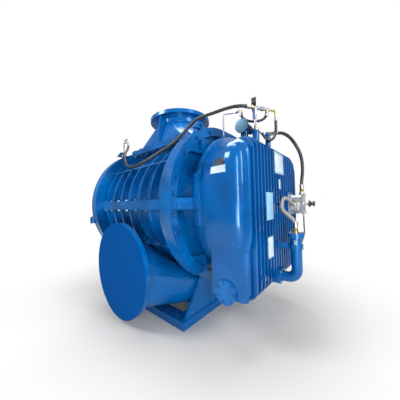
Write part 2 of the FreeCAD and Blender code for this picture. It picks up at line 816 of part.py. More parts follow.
# Bolts that hold the gear case to the carrier ring
case_bolts = []
for angle in (22, 52, 80, 100, 128, 158):
    turn = math.radians(angle)
    radius = mm.carrier_radius - 24
    y = radius * math.cos(turn)
    z = mm.rotor_plane + radius * math.sin(turn)
    case_bolts.append(bolt(Vector(carrier_start, y, z), (-1, 0, 0)))
for angle in (-18, -40, -140, -162):
    turn = math.radians(angle)
    radius = mm.carrier_radius - 24
    case_bolts.append(bolt(Vector(carrier_start, radius * math.cos(turn),
                                  mm.rotor_plane + radius * math.sin(turn)), (-1, 0, 0)))
keep_shape("gear_case_bolts", group(case_bolts))


# Round cover on the side of the sump, made as a padded sketch with a ring of holes
def plane_of(body, role):
    return next(item for item in body.Origin.OriginFeatures if item.Role == role)


def round_sketch(body, name, role, radius, x=None):
    sketch = body.newObject("Sketcher::SketchObject", name)
    sketch.AttachmentSupport = (plane_of(body, role), [""])
    sketch.MapMode = "FlatFace"
    size = getattr(mm, radius)
    start = 0 if x is None else getattr(mm, x)
    sketch.addGeometry(Part.Circle(Vector(start, 0, 0), Vector(0, 0, 1), size), False)
    sketch.addConstraint(Sketcher.Constraint("Radius", 0, size))
    sketch.renameConstraint(0, "radius")
    bind(sketch, "Constraints.radius", radius)
    if x is None:
        sketch.addConstraint(Sketcher.Constraint("Coincident", 0, 3, -1, 1))
    else:
        sketch.addConstraint(Sketcher.Constraint("PointOnObject", 0, 3, -1))
        sketch.addConstraint(Sketcher.Constraint("DistanceX", -1, 1, 0, 3, start))
        sketch.renameConstraint(2, "offset")
        bind(sketch, "Constraints.offset", x)
    return sketch


def round_plate(name, radius, thickness, x, y, z, role, holes=None):
    """Disc on one of its body's own planes, with an optional ring of holes."""
    body = doc.addObject("PartDesign::Body", name)
    pad = body.newObject("PartDesign::Pad", name + "_pad")
    pad.Profile = round_sketch(body, name + "_outline", role, radius)
    bind(pad, "Length", thickness)
    doc.recompute()
    if holes:
        circle, hole_radius, count = holes
        full = pad.Shape.Volume
        drill = body.newObject("PartDesign::Pocket", name + "_hole")
        drill.Profile = round_sketch(body, name + "_hole_outline", role, hole_radius, circle)
        drill.Type = "ThroughAll"
        drill.Midplane = True
        doc.recompute()
        pattern = body.newObject("PartDesign::PolarPattern", name + "_holes")
        pattern.Originals = [drill]
        pattern.Axis = (body.getObject(name + "_outline"), ["N_Axis"])
        pattern.Angle = 360
        bind(pattern, "Occurrences", count)
        body.Tip = pattern
        doc.recompute()
        if pattern.Shape.Volume >= full:
            raise ValueError(f"{name}: the holes cut nothing")
    for axis, text in (("x", x), ("y", y), ("z", z)):
        bind(body, f".Placement.Base.{axis}", text)
    return keep(body)


sump_cover = round_plate("sump_cover", "sump_cover_radius", "sump_cover_thickness",
                         CARRIER_END + " + sump_cover_offset",
                         "-sump_half_width", "sump_cover_height", "XZ_Plane",
                         ("sump_cover_bolt_radius", "small_bolt_radius", "sump_cover_bolts"))
cover_bolts = []
for k in range(int(mm.sump_cover_bolts)):
    turn = 2 * math.pi * k / mm.sump_cover_bolts
    spot = Vector(sump_cover_x + mm.sump_cover_bolt_radius * math.cos(turn),
                  -mm.sump_half_width, mm.sump_cover_height + mm.sump_cover_bolt_radius * math.sin(turn))
    shank = rod(mm.small_bolt_radius - 0.5, spot, spot + Vector(0, -mm.sump_cover_thickness, 0))
    head = hex_prism(mm.small_bolt_radius + 3, spot + Vector(0, -mm.sump_cover_thickness, 0),
                     Vector(0, -1, 0), mm.small_bolt_height)
    cover_bolts.append(shank.fuse(head))
keep_shape("sump_cover_bolts", group(cover_bolts))

# Drain plug on the back of the sump and level plug on its finned face
drain = Vector(sump_start, 60 - mm.sump_half_width, mm.rotor_plane - mm.sump_drop + mm.drain_plug_rise)
level = Vector(fin_root, -6.5 * mm.fin_pitch, mm.rotor_plane - mm.level_plug_drop)
keep_shape("oil_plugs", group([
    merged([rod(30, drain, drain - Vector(14, 0, 0)),
            hex_prism(22, drain - Vector(14, 0, 0), Vector(-1, 0, 0), 22)]),
    merged([rod(18, level, level + Vector(mm.fin_depth + 3, 0, 0)),
            hex_prism(17, level + Vector(mm.fin_depth + 3, 0, 0), Vector(1, 0, 0), 12)]),
]))


# Inlet nozzle: rectangular foot, tapering hopper and round flange
def hopper(grow):
    """Tapering hopper; grow moves its walls outwards."""
    low = port_top + mm.port_flange_thickness
    x0 = -port_flange_drive + 62 - grow
    x1 = port_flange_gear - 62 + grow
    half = mm.port_flange_near - 62 + grow
    corner = 60

    def arc(xc, yc, a):
        points = [Vector(xc + corner * math.cos(math.radians(t)), yc + corner * math.sin(math.radians(t)), low)
                  for t in (a, a + 45, a + 90)]
        return Part.Arc(*points)

    arcs = [arc(x1 - corner, half - corner, 0), arc(x0 + corner, half - corner, 90),
            arc(x0 + corner, corner - half, 180), arc(x1 - corner, corner - half, 270)]
    edges = []
    for k, piece in enumerate(arcs):
        edges += [piece.toShape(), Part.makeLine(piece.EndPoint, arcs[(k + 1) % 4].StartPoint)]
    foot = Part.Wire(edges)
    radius = mm.inlet_bore_radius + grow
    neck = []
    for a in (0, 90, 180, 270):
        span = [Vector(radius * math.cos(math.radians(t)), radius * math.sin(math.radians(t)), hopper_top)
                for t in (a + 8, a + 45, a + 82, a + 90, a + 98)]
        neck += [Part.Arc(*span[:3]).toShape(), Part.Arc(*span[2:]).toShape()]
    return Part.makeLoft([foot, Part.Wire(neck)], True, True)


def inlet_nozzle():
    low = port_top
    top = mm.inlet_face_height
    wall = mm.inlet_neck_radius - mm.inlet_bore_radius
    foot = block(-port_flange_drive, port_flange_gear, -mm.port_flange_near, mm.port_flange_near,
                 low, low + mm.port_flange_thickness)
    neck = rod(mm.inlet_neck_radius, Vector(0, 0, hopper_top), Vector(0, 0, top))
    flange = rod(mm.inlet_flange_radius, Vector(0, 0, top - mm.inlet_flange_thickness), Vector(0, 0, top))
    rib_base = low + mm.port_flange_thickness
    x = mm.nozzle_rib_x
    ribs = []
    for y in (-1, 1):
        rib = prism([(x, y * mm.inlet_neck_radius * 0.9, top - mm.inlet_flange_thickness),
                     (x, y * (mm.inlet_flange_radius - 10), top - mm.inlet_flange_thickness),
                     (x, y * (mm.port_flange_near - 24), rib_base),
                     (x, y * (mm.port_flange_near - 90), rib_base)], Vector(16, 0, 0))
        ribs.append(rib)
    outside = foot.multiFuse([hopper(wall), neck, flange] + ribs)
    inside = hopper(0).multiFuse([
        rod(mm.inlet_bore_radius, Vector(0, 0, hopper_top - 1), Vector(0, 0, top + 1)),
        block(-port_half, port_half, -mm.port_half_width, mm.port_half_width,
              low - 1, rib_base + 1)])
    solid = outside.cut(inside)
    holes = []
    for k in range(int(mm.inlet_bolt_count)):
        turn = 2 * math.pi * (k + 0.5) / mm.inlet_bolt_count
        x = mm.inlet_bolt_circle / 2 * math.cos(turn)
        y = mm.inlet_bolt_circle / 2 * math.sin(turn)
        holes.append(rod(mm.inlet_hole_radius, Vector(x, y, top - mm.inlet_flange_thickness - 30),
                         Vector(x, y, top + 1)))
    return solid.cut(group(holes))


keep_shape("inlet_nozzle", inlet_nozzle())
port_bolts = []
foot_top = port_top + mm.port_flange_thickness
x_first = -port_flange_drive + 30
x_last = port_flange_gear - 30
for k in range(8):
    x = x_first + (x_last - x_first) * k / 7
    for side in (-1, 1):
        port_bolts.append(bolt(Vector(x, side * (mm.port_flange_near - 24), foot_top), (0, 0, 1)))
        port_bolts.append(bolt(Vector(x, side * (mm.port_flange_near - 24),
                                      port_top - mm.port_flange_thickness), (0, 0, -1)))
keep_shape("inlet_foot_bolts", group(port_bolts))


# Discharge nozzle: from the pedestal's front wall to the round flange
def discharge_taper(grow):
    radius = mm.discharge_bore_radius + grow
    centre = Vector(mm.discharge_x, 0, mm.discharge_height)
    start = -mm.pedestal_half_width
    end = -mm.discharge_face + mm.discharge_flange_thickness
    half = foot_half - 34 + grow
    low = mm.base_height + 40 - grow
    high = mm.rotor_plane - mm.foot_drop - mm.throat_drop + grow
    corner = 90

    def arc(xc, zc, a):
        return Part.Arc(*[Vector(xc + corner * math.cos(math.radians(t)), start,
                                 zc + corner * math.sin(math.radians(t))) for t in (a, a + 45, a + 90)])

    arcs = [arc(half - corner, high - corner, 0), arc(corner - half, high - corner, 90),
            arc(corner - half, low + corner, 180), arc(half - corner, low + corner, 270)]
    edges = []
    for k, piece in enumerate(arcs):
        edges += [piece.toShape(), Part.makeLine(piece.EndPoint, arcs[(k + 1) % 4].StartPoint)]
    mouth = []
    for a in (0, 90, 180, 270):
        span = [Vector(centre.x + radius * math.cos(math.radians(t)), end,
                       centre.z + radius * math.sin(math.radians(t)))
                for t in (a + 20, a + 45, a + 70, a + 90, a + 110)]
        mouth += [Part.Arc(*span[:3]).toShape(), Part.Arc(*span[2:]).toShape()]
    return Part.makeLoft([Part.Wire(edges), Part.Wire(mouth)], True, True)


def discharge_nozzle():
    y0 = -mm.discharge_face
    y1 = y0 + mm.discharge_flange_thickness
    spot = Vector(mm.discharge_x, y0, mm.discharge_height)
    back = Vector(spot.x, y1, spot.z)
    flange = rod(mm.discharge_flange_radius, spot, back).cut(rod(mm.discharge_bore_radius, spot, back))
    return discharge_taper(mm.discharge_wall).cut(discharge_taper(0)).fuse(flange)


keep_shape("discharge_nozzle", discharge_nozzle())
round_plate("discharge_blank", "discharge_flange_radius", "blank_thickness", "discharge_x",
            "-discharge_face", "discharge_height", "XZ_Plane")


# Pedestal: welded box between the base and the casing's foot
def pedestal():
    top = mm.rotor_plane - mm.foot_drop
    half = foot_half
    wide = mm.pedestal_half_width
    wall = mm.pedestal_wall
    shell = block(-half, half, -wide, wide, mm.base_height, top)
    room = block(-half + wall, half - wall, -wide + wall, wide - wall, mm.base_height + wall, top + 1)
    window = block(-half + 34, half - 34, -wide - 1, -wide + wall + 1, mm.base_height + 40, top - mm.throat_drop)
    pieces = [shell.cut(room.fuse(window))]
    for x in (-half, half - 20):
        for side in (-1, 1):
            pieces.append(prism([(x, side * wide, top - 20), (x, side * wide, mm.base_height),
                                 (x, side * (mm.base_width / 2 - 25), mm.base_height)], Vector(20, 0, 0)))
    return merged(pieces)


keep_shape("pedestal", pedestal())

base = box("base_outline", f"2 * ({BASE_HALF})", "base_width", "base_height", f"-({BASE_HALF})", "-base_width / 2",
           "0")
window = box("base_window", f"2 * ({BASE_HALF} - base_rail)", "base_width - 2 * base_rail", "base_height + 2",
             f"base_rail - ({BASE_HALF})", "base_rail - base_width / 2", "-1")
anchors = []
for i, (sx, sy) in enumerate(((-1, -1), (1, -1), (1, 1), (-1, 1))):
    anchors.append(cylinder(f"anchor_{i}", "anchor_radius", "base_height + 2",
                            f"{sx} * ({BASE_HALF} - anchor_inset)", f"{sy} * (base_width / 2 - anchor_inset)",
                            "-1", "z"))
keep(cut("base_frame", base, [window] + anchors))


# Oil pump with its pad, cooling fins and relief screw
def pump_shape():
    z = pump_height
    x0 = pump_start
    x1 = x0 + mm.pump_length
    half = mm.pump_half_width
    tall = mm.pump_half_height
    body = [block(x0, x0 + 18, shaft_half - half, shaft_half + half, z - tall, z + tall),
            drum_between(x0 + 18, x1 - 12, shaft_half, half - 8, z - tall + half, z + tall - half),
            block(x1 - 12, x1, shaft_half - half, shaft_half + half, z - tall, z + tall)]
    for k in range(5):
        x = x0 + 24 + k * 10
        body.append(block(x, x + 4, shaft_half - half + 2, shaft_half + half - 2, z - tall + 4, z - 18))
    body.append(rod(20, Vector(x0 + 52, shaft_half - half - 16, z), Vector(x0 + 52, shaft_half, z)))
    body.append(rod(20, Vector(x0 + 90, shaft_half, z), Vector(x0 + 90, shaft_half, z + tall + 14)))
    body.append(rod(15, Vector(x1, shaft_half, z), Vector(x1 + 14, shaft_half, z)))
    body.append(rod(9, Vector(x1, shaft_half, z), Vector(x1 + mm.relief_stem, shaft_half, z)))
    solid = merged(body)
    return solid.cut(rod(mm.pump_spindle_radius + 0.06, Vector(x0 - 1, shaft_half, mm.rotor_plane),
                         Vector(x0 + 26, shaft_half, mm.rotor_plane)))


def drum_between(x0, x1, y, radius, low, high):
    """Upright slab with round top and bottom."""
    return merged([
        rod(radius, Vector(x0, y, low), Vector(x1, y, low)),
        rod(radius, Vector(x0, y, high), Vector(x1, y, high)),
        block(x0, x1, y - radius, y + radius, low, high),
    ])


keep_shape("oil_pump", pump_shape())
pump_end = pump_start + mm.pump_length
pump_bolts = []
for dy in (-1, 1):
    for dz in (-1, 1):
        spot = Vector(pump_end, shaft_half + dy * (mm.pump_half_width - 12),
                      pump_height + dz * (mm.pump_half_height - 12))
        pump_bolts.append(bolt(spot, (1, 0, 0), mm.small_bolt_radius + 2))
stem_end = Vector(pump_end + mm.relief_stem + 0.3, shaft_half, pump_height)
knob_end = stem_end + Vector(mm.knob_length, 0, 0)
knob = merged([
    rod(mm.knob_radius, stem_end, stem_end + Vector(10, 0, 0)),
    rod(9, stem_end, knob_end),
    rod(mm.knob_radius - 6, knob_end - Vector(12, 0, 0), knob_end),
    rod(15, stem_end + Vector(8, 0, 0), stem_end + Vector(20, 0, 0)),
])
keep_shape("relief_knob", knob)


# Suction filter: vessel with elbow, bolted cover, basket and bracket
def vessel_shape():
    x, y = vessel_x, mm.vessel_y
    turn = mm.vessel_elbow_radius
    pipe_z = mm.vessel_bottom - turn
    outer = mm.vessel_radius
    inner = outer - 7

    def tube(radius):
        column = rod(radius, Vector(x, y, mm.vessel_bottom), Vector(x, y, mm.vessel_top))
        profile = Part.Wire(Part.makeCircle(radius, Vector(x, y, mm.vessel_bottom), Vector(0, 0, 1)))
        bend = Part.Face(profile).revolve(Vector(x - turn, y, mm.vessel_bottom), Vector(0, 1, 0), 90)
        tail = rod(radius, Vector(case_front + 6, y, pipe_z), Vector(x - turn, y, pipe_z))
        return column.multiFuse([bend, tail])

    top = rod(mm.vessel_flange_radius, Vector(x, y, mm.vessel_top - mm.vessel_flange_thickness),
              Vector(x, y, mm.vessel_top))
    foot = mm.vessel_foot_half
    plate = block(case_front + 6, case_front + 20, y - foot, y + foot, pipe_z - foot, pipe_z + foot)
    return tube(outer).multiFuse([top, plate]).cut(tube(inner))


keep_shape("filter_vessel", vessel_shape())
round_plate("filter_cover", "vessel_flange_radius", "vessel_flange_thickness", CASE_FRONT + " + vessel_offset",
            "vessel_y", "vessel_top", "XY_Plane")
filter_bolts = []
for k in range(6):
    turn = math.radians(60 * k + 30)
    spot = Vector(vessel_x + (mm.vessel_flange_radius - 10) * math.cos(turn),
                  mm.vessel_y + (mm.vessel_flange_radius - 10) * math.sin(turn),
                  mm.vessel_top + mm.vessel_flange_thickness)
    filter_bolts.append(bolt(spot, (0, 0, 1), mm.small_bolt_radius))
for dy in (-1, 1):
    for dz in (-1, 1):
        spot = Vector(case_front + 20, mm.vessel_y + dy * (mm.vessel_foot_half - 11),
                      mm.vessel_bottom - mm.vessel_elbow_radius + dz * (mm.vessel_foot_half - 11))
        filter_bolts.append(bolt(spot, (1, 0, 0), mm.small_bolt_radius + 1))
keep_shape("oil_system_bolts", group(pump_bolts + filter_bolts))
basket = rod(22, Vector(vessel_x, mm.vessel_y, mm.vessel_bottom + 10),
             Vector(vessel_x, mm.vessel_y, mm.vessel_top))
keep_shape("filter_basket", basket)
clasp_low = Vector(vessel_x, mm.vessel_y, mm.bracket_height - 16)
clasp_high = Vector(vessel_x, mm.vessel_y, mm.bracket_height + 16)
arm = block(case_front + 4, vessel_x, mm.vessel_y - 7, mm.vessel_y + 7, clasp_low.z - 6, clasp_high.z + 6)
clasp = rod(mm.vessel_radius + 8, clasp_low, clasp_high)
hole = rod(mm.vessel_radius, clasp_low - Vector(0, 0, 20), clasp_high + Vector(0, 0, 20))
keep_shape("filter_bracket", merged([arm, clasp]).cut(hole))

# Pipes and hoses run straight between points and turn in tangent arcs
def route_wire(points, bend=None):
    """Wire through the corner points; each arc is as large as its two runs allow, or has the given radius."""
    edges = []
    radii = []
    start = points[0]
    for before, corner, after in zip(points, points[1:], points[2:]):
        way_in = (corner - before).normalize()
        way_out = (after - corner).normalize()
        turn = math.acos(max(-1, min(1, way_in.dot(way_out))))
        shorter = min((corner - before).Length, (after - corner).Length)
        radius = bend or 0.45 * shorter / math.tan(turn / 2)
        radii.append(radius)
        reach = radius * math.tan(turn / 2)
        enter = corner - way_in * reach
        leave = corner + way_out * reach
        inward = (way_out - way_in).normalize()
        middle = corner + inward * (radius / math.cos(turn / 2) - radius)
        edges.append(Part.LineSegment(start, enter).toShape())
        edges.append(Part.Arc(enter, middle, leave).toShape())
        start = leave
    edges.append(Part.LineSegment(start, points[-1]).toShape())
    return Part.Wire(edges), radii


def tube(points, radius, bend=None):
    wire, _ = route_wire(points, bend)
    section = Part.Wire(Part.makeCircle(radius, points[0], points[1] - points[0]))
    return wire.makePipeShell([section], True, False)


def hose(label, points, diameter):
    """Hose solid, with its radii printed and its volume compared with section times length."""
    wire, radii = route_wire(points)
    solid = tube(points, diameter / 2)
    expected = math.pi * diameter ** 2 / 4 * wire.Length
    if abs(solid.Volume / expected - 1) > 0.02:
        raise ValueError(f"{label}: the tube's volume is wrong")
    print(label, "length", round(wire.Length), "tightest radius", round(min(radii)))
    keep_shape(label, solid)


def nut(start, way, radius, length):
    """Hexagon nut of a hose fitting, from start along way."""
    return hex_prism(radius, start, way, length)


def fitting(start, end, radius):
    """Straight hose fitting: a slim stem with a hexagon in its middle."""
    way = end - start
    unit = Vector(way).normalize()
    collar = nut(start + way * 0.3, unit, radius * 1.35, way.Length * 0.4)
    return rod(radius, start, end).fuse(collar)


# Manifold on a riser at the front of the gear case's top
boss_top = case_top + mm.riser_boss_height
bar_z = mm.manifold_height + 31
bar_way = Vector(60, 109, 0).normalize()
bar_start = Vector(riser.x, riser.y, bar_z)
bar_end = bar_start + bar_way * (mm.manifold_length + 32)
valve_z = mm.manifold_height
pipe = mm.pipe_radius
valve_size = pipe + 5.7
reach = valve_size * 1.15
keep_shape("manifold", merged([
    rod(pipe, Vector(riser.x, riser.y, boss_top), Vector(riser.x, riser.y, valve_z - reach)),
    hex_prism(pipe + 7, Vector(riser.x, riser.y, boss_top), Vector(0, 0, 1), 18),
]).fuse(merged([
    rod(pipe, Vector(riser.x, riser.y, valve_z + reach), bar_start),
    rod(pipe + 1.5, bar_start - bar_way * 14, bar_end),
    rod(pipe + 5, bar_start + bar_way * 52, bar_start + bar_way * 76),
])))


def ball_valve(centre, run, stem, size):
    """Ball valve body: a barrel along its run with a stem boss to one side."""
    run = Vector(*run).normalize()
    stem = Vector(*stem).normalize()
    return merged([
        rod(size, centre - run * reach * 0.6, centre + run * reach * 0.6),
        hex_prism(size * 0.95, centre - run * reach, run, reach * 2),
        rod(size * 0.5, centre, centre + stem * size * 1.5),
    ])


def lever(centre, stem, arm, size, length):
    """Flat valve handle with a hub over the stem."""
    stem = Vector(*stem).normalize()
    arm = Vector(*arm).normalize()
    base = centre + stem * (size * 1.5 + 0.4)
    across = stem.cross(arm).normalize() * 6
    corners = [base - across, base - across + arm * length, base + across + arm * length, base + across]
    plate = Part.Face(Part.makePolygon(corners + corners[:1])).extrude(stem * 5)
    hub = rod(size * 0.62, base, base + stem * 9)
    return plate.fuse(hub)


manifold_valve = Vector(riser.x, riser.y, valve_z)
vent_foot = Vector(carrier_start + 16, mm.manifold_y, 0)
vent_valve = Vector(carrier_end + 84, mm.vent_valve_y, mm.manifold_height + mm.vent_valve_rise)
drive_valve = Vector(50 - casing_half, mm.drive_valve_y, mm.drive_valve_height)
drive_foot = Vector(-casing_half - 11, mm.drive_valve_y, 0)
keep_shape("ball_valves", group([
    ball_valve(manifold_valve, (0, 0, 1), (0, -1, 0), valve_size),
    ball_valve(vent_valve, (1, 0, 0), (0, 0, 1), valve_size),
    ball_valve(drive_valve, (1, 0, 0), (0, 0, 1), valve_size),
]))
keep_shape("manifold_lever", lever(manifold_valve, (0, -1, 0), (0, 0, -1), valve_size, 62))
keep_shape("vent_lever", lever(vent_valve, (0, 0, 1), (1, 0, 0), valve_size, 62))
keep_shape("drive_end_lever", lever(drive_valve, (0, 0, 1), (-1, 0, 0), valve_size, 56))

# Thin risers: one from the carrier ring, one from the drive-end plate
ring_top = mm.rotor_plane + math.sqrt(mm.carrier_radius ** 2 - vent_foot.y ** 2)
rim_top = mm.rotor_plane + math.sqrt(mm.end_flange_radius ** 2 - (abs(drive_foot.y) - mm.barrel_offset) ** 2)
ring_riser = tube([vent_foot + Vector(0, 0, ring_top - 6), vent_foot + Vector(0, 0, vent_valve.z),
                   vent_valve - Vector(reach + 30, 0, 0), vent_valve - Vector(reach, 0, 0)], 6, 11)
rim_riser = tube([drive_foot + Vector(0, 0, rim_top - 6), drive_foot + Vector(0, 0, drive_valve.z),
                  drive_valve - Vector(reach, 0, 0)], 7, 13)
carrier_disc = rod(mm.carrier_radius, Vector(carrier_start, 0, mm.rotor_plane), Vector(carrier_end, 0, mm.rotor_plane))
rim = drum(mm.barrel_offset, mm.end_flange_radius, -plate_end, -casing_half + mm.end_flange_thickness)
keep_shape("riser_pipes", group([ring_riser.cut(carrier_disc), rim_riser.cut(rim)]))

# Pressure gauge on the manifold, with its pointer
manifold_shape = next(item.Shape for item in NODES if item.Label == "manifold")
gauge_way = Vector(0.9, 0.436, 0).normalize()
gauge_centre = bar_start + Vector(4, 8, mm.gauge_radius + 20)
gauge_back = gauge_centre - gauge_way * mm.gauge_depth
dial_depth = 9
keep_shape("gauge_case", rod(mm.gauge_radius, gauge_back, gauge_centre).cut(
    rod(mm.gauge_radius - 4, gauge_centre - gauge_way * dial_depth, gauge_centre + gauge_way)).fuse(
    rod(6, Vector(gauge_back.x, gauge_back.y, bar_z) + gauge_way * 12,
        Vector(gauge_back.x, gauge_back.y, gauge_back.z - mm.gauge_radius + 3) + gauge_way * 12)).cut(manifold_shape))
pivot = gauge_centre - gauge_way * (dial_depth - 2)
needle_side = Vector(0, 0, 1).cross(gauge_way).normalize()
needle_way = (Vector(0, 0, -0.7) - needle_side * 0.7).normalize()
needle_across = needle_way.cross(gauge_way).normalize() * 1.6
needle_corners = [pivot - needle_way * 7 - needle_across, pivot - needle_way * 7 + needle_across,
                  pivot + needle_way * (mm.gauge_radius - 8)]
keep_shape("gauge_needle", Part.Face(Part.makePolygon(needle_corners + needle_corners[:1])).extrude(
    gauge_way * 1.5).fuse(rod(3.2, pivot - gauge_way * 1.7, pivot + gauge_way * 2.5)))

# Breather on the gear case: neck, elbow and round end plate
breather = Vector(case_front - mm.breather_set_back, mm.breather_y, mm.breather_height)
disc = mm.breather_disc_radius
keep_shape("breather", merged([
    rod(27, Vector(breather.x, breather.y + 46, case_top - 60), Vector(breather.x, breather.y + 46, breather.z)),
    rod(34, Vector(breather.x, breather.y + 10, breather.z), Vector(breather.x, breather.y + 110, breather.z)),
    rod(disc, Vector(breather.x, breather.y, breather.z), Vector(breather.x, breather.y + 14, breather.z)),
    rod(26, Vector(breather.x, breather.y + 110, breather.z), Vector(breather.x, breather.y + 150, breather.z)),
]).cut(case_body(fin_root, 0)))

# Oil cup on the drive-end plate
cup = Vector(-plate_end - 30, -mm.oil_cup_reach, mm.oil_cup_height)
keep_shape("oil_cup", merged([
    rod(30, cup, cup + Vector(0, 0, 66)),
    rod(12, cup + Vector(0, 0, 66), cup + Vector(0, 0, 80)),
    rod(11, cup + Vector(0, 0, 30), Vector(-plate_end, cup.y, cup.z + 30)),
]))

# Hose routes: corner points at the drawn sizes, led to the two ends they join
def lead(points, start, end, free=None):
    """Carry a route's corners along with its ends; only the corners between the free ones share the change."""
    corners = [Vector(*point) for point in points]
    start_shift = start - corners[0]
    end_shift = end - corners[-1]
    first, last = free or (1, len(corners) - 2)
    moved = []
    for k, corner in enumerate(corners):
        share = min(max((k - first) / (last - first), 0), 1)
        moved.append(corner + start_shift * (1 - share) + end_shift * share)
    return moved


side_port = mm.pump_half_width + 16
bar_out = bar_start - bar_way * 14
pump_outlet = Vector(pump_start + 90, shaft_half, pump_height + mm.pump_half_height + 14)
SUCTION = lead(
    [(1112, 152, 914), (1112, 112, 914), (1104, 60, 940), (1094, 4, 966), (1087, -42, 958), (1084, -72, 920),
     (1088, -82, 884), (1124, -70, 842), (1166, -52, 800), (1166, -52, 764)],
    Vector(pump_start + 52, shaft_half - side_port - 21, pump_height),
    Vector(vessel_x, mm.vessel_y, mm.vessel_top + mm.vessel_flange_thickness + 45))
PRESSURE = lead(
    [(1150, 235, 1040), (1150, 235, 1088), (1160, 248, 1175), (1158, 252, 1265), (1145, 242, 1340),
     (1120, 210, 1405), (1096, 160, 1455), (1066, 96, 1478), (1040, 40, 1472), (1022, 0, 1462)],
    pump_outlet + Vector(0, 0, 30),
    Vector(oil_inlet_x + 22, mm.oil_inlet_y + 63, boss_top + 13))
DRIVE = lead(
    [(939.748, -221.792, 1616), (919.497, -258.583, 1616), (865, -285, 1626), (790, -312, 1622), (700, -346, 1606),
     (620, -378, 1594), (560, -394, 1576), (500, -410, 1530), (440, -440, 1470), (385, -470, 1422),
     (322, -500, 1385), (254, -540, 1345), (182, -566, 1312), (105, -582, 1290), (20, -588, 1280),
     (-70, -580, 1292), (-160, -556, 1314), (-240, -520, 1344), (-310, -492, 1382), (-372, -470, 1436),
     (-418, -446, 1486), (-452, -412, 1532), (-472, -372, 1585), (-472, -372, 1640)],
    bar_out - bar_way * 28,
    drive_valve + Vector(33, 0, -28),
    (9, 17))
BYPASS = lead(
    [(1048.7, -23.8, 1570), (1048.7, -23.8, 1525), (1050, -28, 1468), (1046, -54, 1412), (1026, -88, 1384),
     (1004, -116, 1398), (990, -131, 1430), (974, -160, 1462)],
    bar_end + bar_way * 60 - Vector(0, 0, 46),
    Vector(riser.x + 14, riser.y + 25, boss_top + 13))
CROSS = lead(
    [(834, -155, 1638), (834, -155, 1608), (852, -153, 1578), (890, -145, 1552), (940, -124.6, 1540),
     (982.6, -106.3, 1546), (1004.9, -96.3, 1566), (1010, -94, 1596)],
    vent_valve + Vector(34, 0, -17),
    bar_start + bar_way * 104 - Vector(0, 0, 20))
VENT = lead(
    [(1158, 235, 820), (1158, 235, 790), (1166, 196, 748), (1182, 130, 704), (1188, 70, 680), (1186, 24, 650),
     (1176, -4, 620), (1176, -4, 582)],
    Vector(pump_start + 98, shaft_half, pump_height - mm.pump_half_height - 12),
    Vector(vessel_x + 10, mm.vessel_y + 48, mm.vessel_bottom + mm.vent_port_rise + 22))
HOSES = (
    ("suction_hose", SUCTION, mm.hose_diameter),
    ("pressure_hose", PRESSURE, mm.hose_diameter),
    ("drive_end_hose", DRIVE, mm.hose_diameter),
    ("bypass_hose", BYPASS, mm.slim_hose_diameter),
    ("cross_hose", CROSS, mm.slim_hose_diameter),
    ("vent_tube", VENT, mm.vent_tube_diameter),
)
for label, points, diameter in HOSES:
    hose(label, points, diameter)

# Brass fittings between the hoses and what they join
case_shape = next(item.Shape for item in NODES if item.Label == "gear_case")
vent_port = mm.vessel_bottom + mm.vent_port_rise
vessel_core = rod(mm.vessel_radius, Vector(vessel_x, mm.vessel_y, vent_port - 60),
                  Vector(vessel_x, mm.vessel_y, vent_port + 80))


def run_on(points, length):
    """Point beyond a hose's last one, in line with its last run."""
    return points[-1] + (points[-1] - points[-2]).normalize() * length


brass = [
    fitting(Vector(SUCTION[0].x, shaft_half - side_port, pump_height), SUCTION[0], 13),
    fitting(Vector(vessel_x, mm.vessel_y, mm.vessel_top + mm.vessel_flange_thickness), SUCTION[-1], 12),
    fitting(pump_outlet, PRESSURE[0], 13),
    fitting(run_on(PRESSURE, 68), PRESSURE[-1], 12).cut(case_shape),
    fitting(bar_out, DRIVE[0], 12),
    tube([drive_valve + Vector(reach, 0, 0), Vector(DRIVE[-1].x, drive_valve.y, drive_valve.z), DRIVE[-1]], 8, 10),
    tube([bar_end, Vector(BYPASS[0].x, BYPASS[0].y, bar_z), BYPASS[0]], 8, 14),
    fitting(run_on(BYPASS, 42), BYPASS[-1], 9).cut(manifold_shape.fuse(case_shape)),
    tube([vent_valve + Vector(reach, 0, 0), Vector(CROSS[0].x, vent_valve.y, vent_valve.z), CROSS[0]], 7, 8),
    rod(9, CROSS[-1], run_on(CROSS, 20)).cut(manifold_shape),
    rod(7, VENT[0], Vector(VENT[0].x, VENT[0].y, pump_height - mm.pump_half_height)),
    tube([Vector(VENT[-1].x, mm.vessel_y + mm.vessel_radius - 2, vent_port),
          Vector(VENT[-1].x, VENT[-1].y, vent_port), VENT[-1]], 5, 7).cut(vessel_core),
]
keep_shape("hose_fittings", group(brass))

doc.recompute()


def check_document():
    """Stop if any object failed or any finished piece has no sound shape."""
    for item in doc.Objects:
        if "Invalid" in item.State or "Error" in item.State:
            raise ValueError(f"{item.Label} failed: {item.State}")
    for item in NODES:
        if item.Shape.isNull() or not item.Shape.isValid():
            raise ValueError(f"{item.Label} has no valid shape")


check_document()
for item in NODES:
    item.Shape.exportStep(f"parts/{item.Label}.step")
print(len(NODES), "pieces written")
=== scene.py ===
import math

import bpy
from mathutils import Matrix, Vector


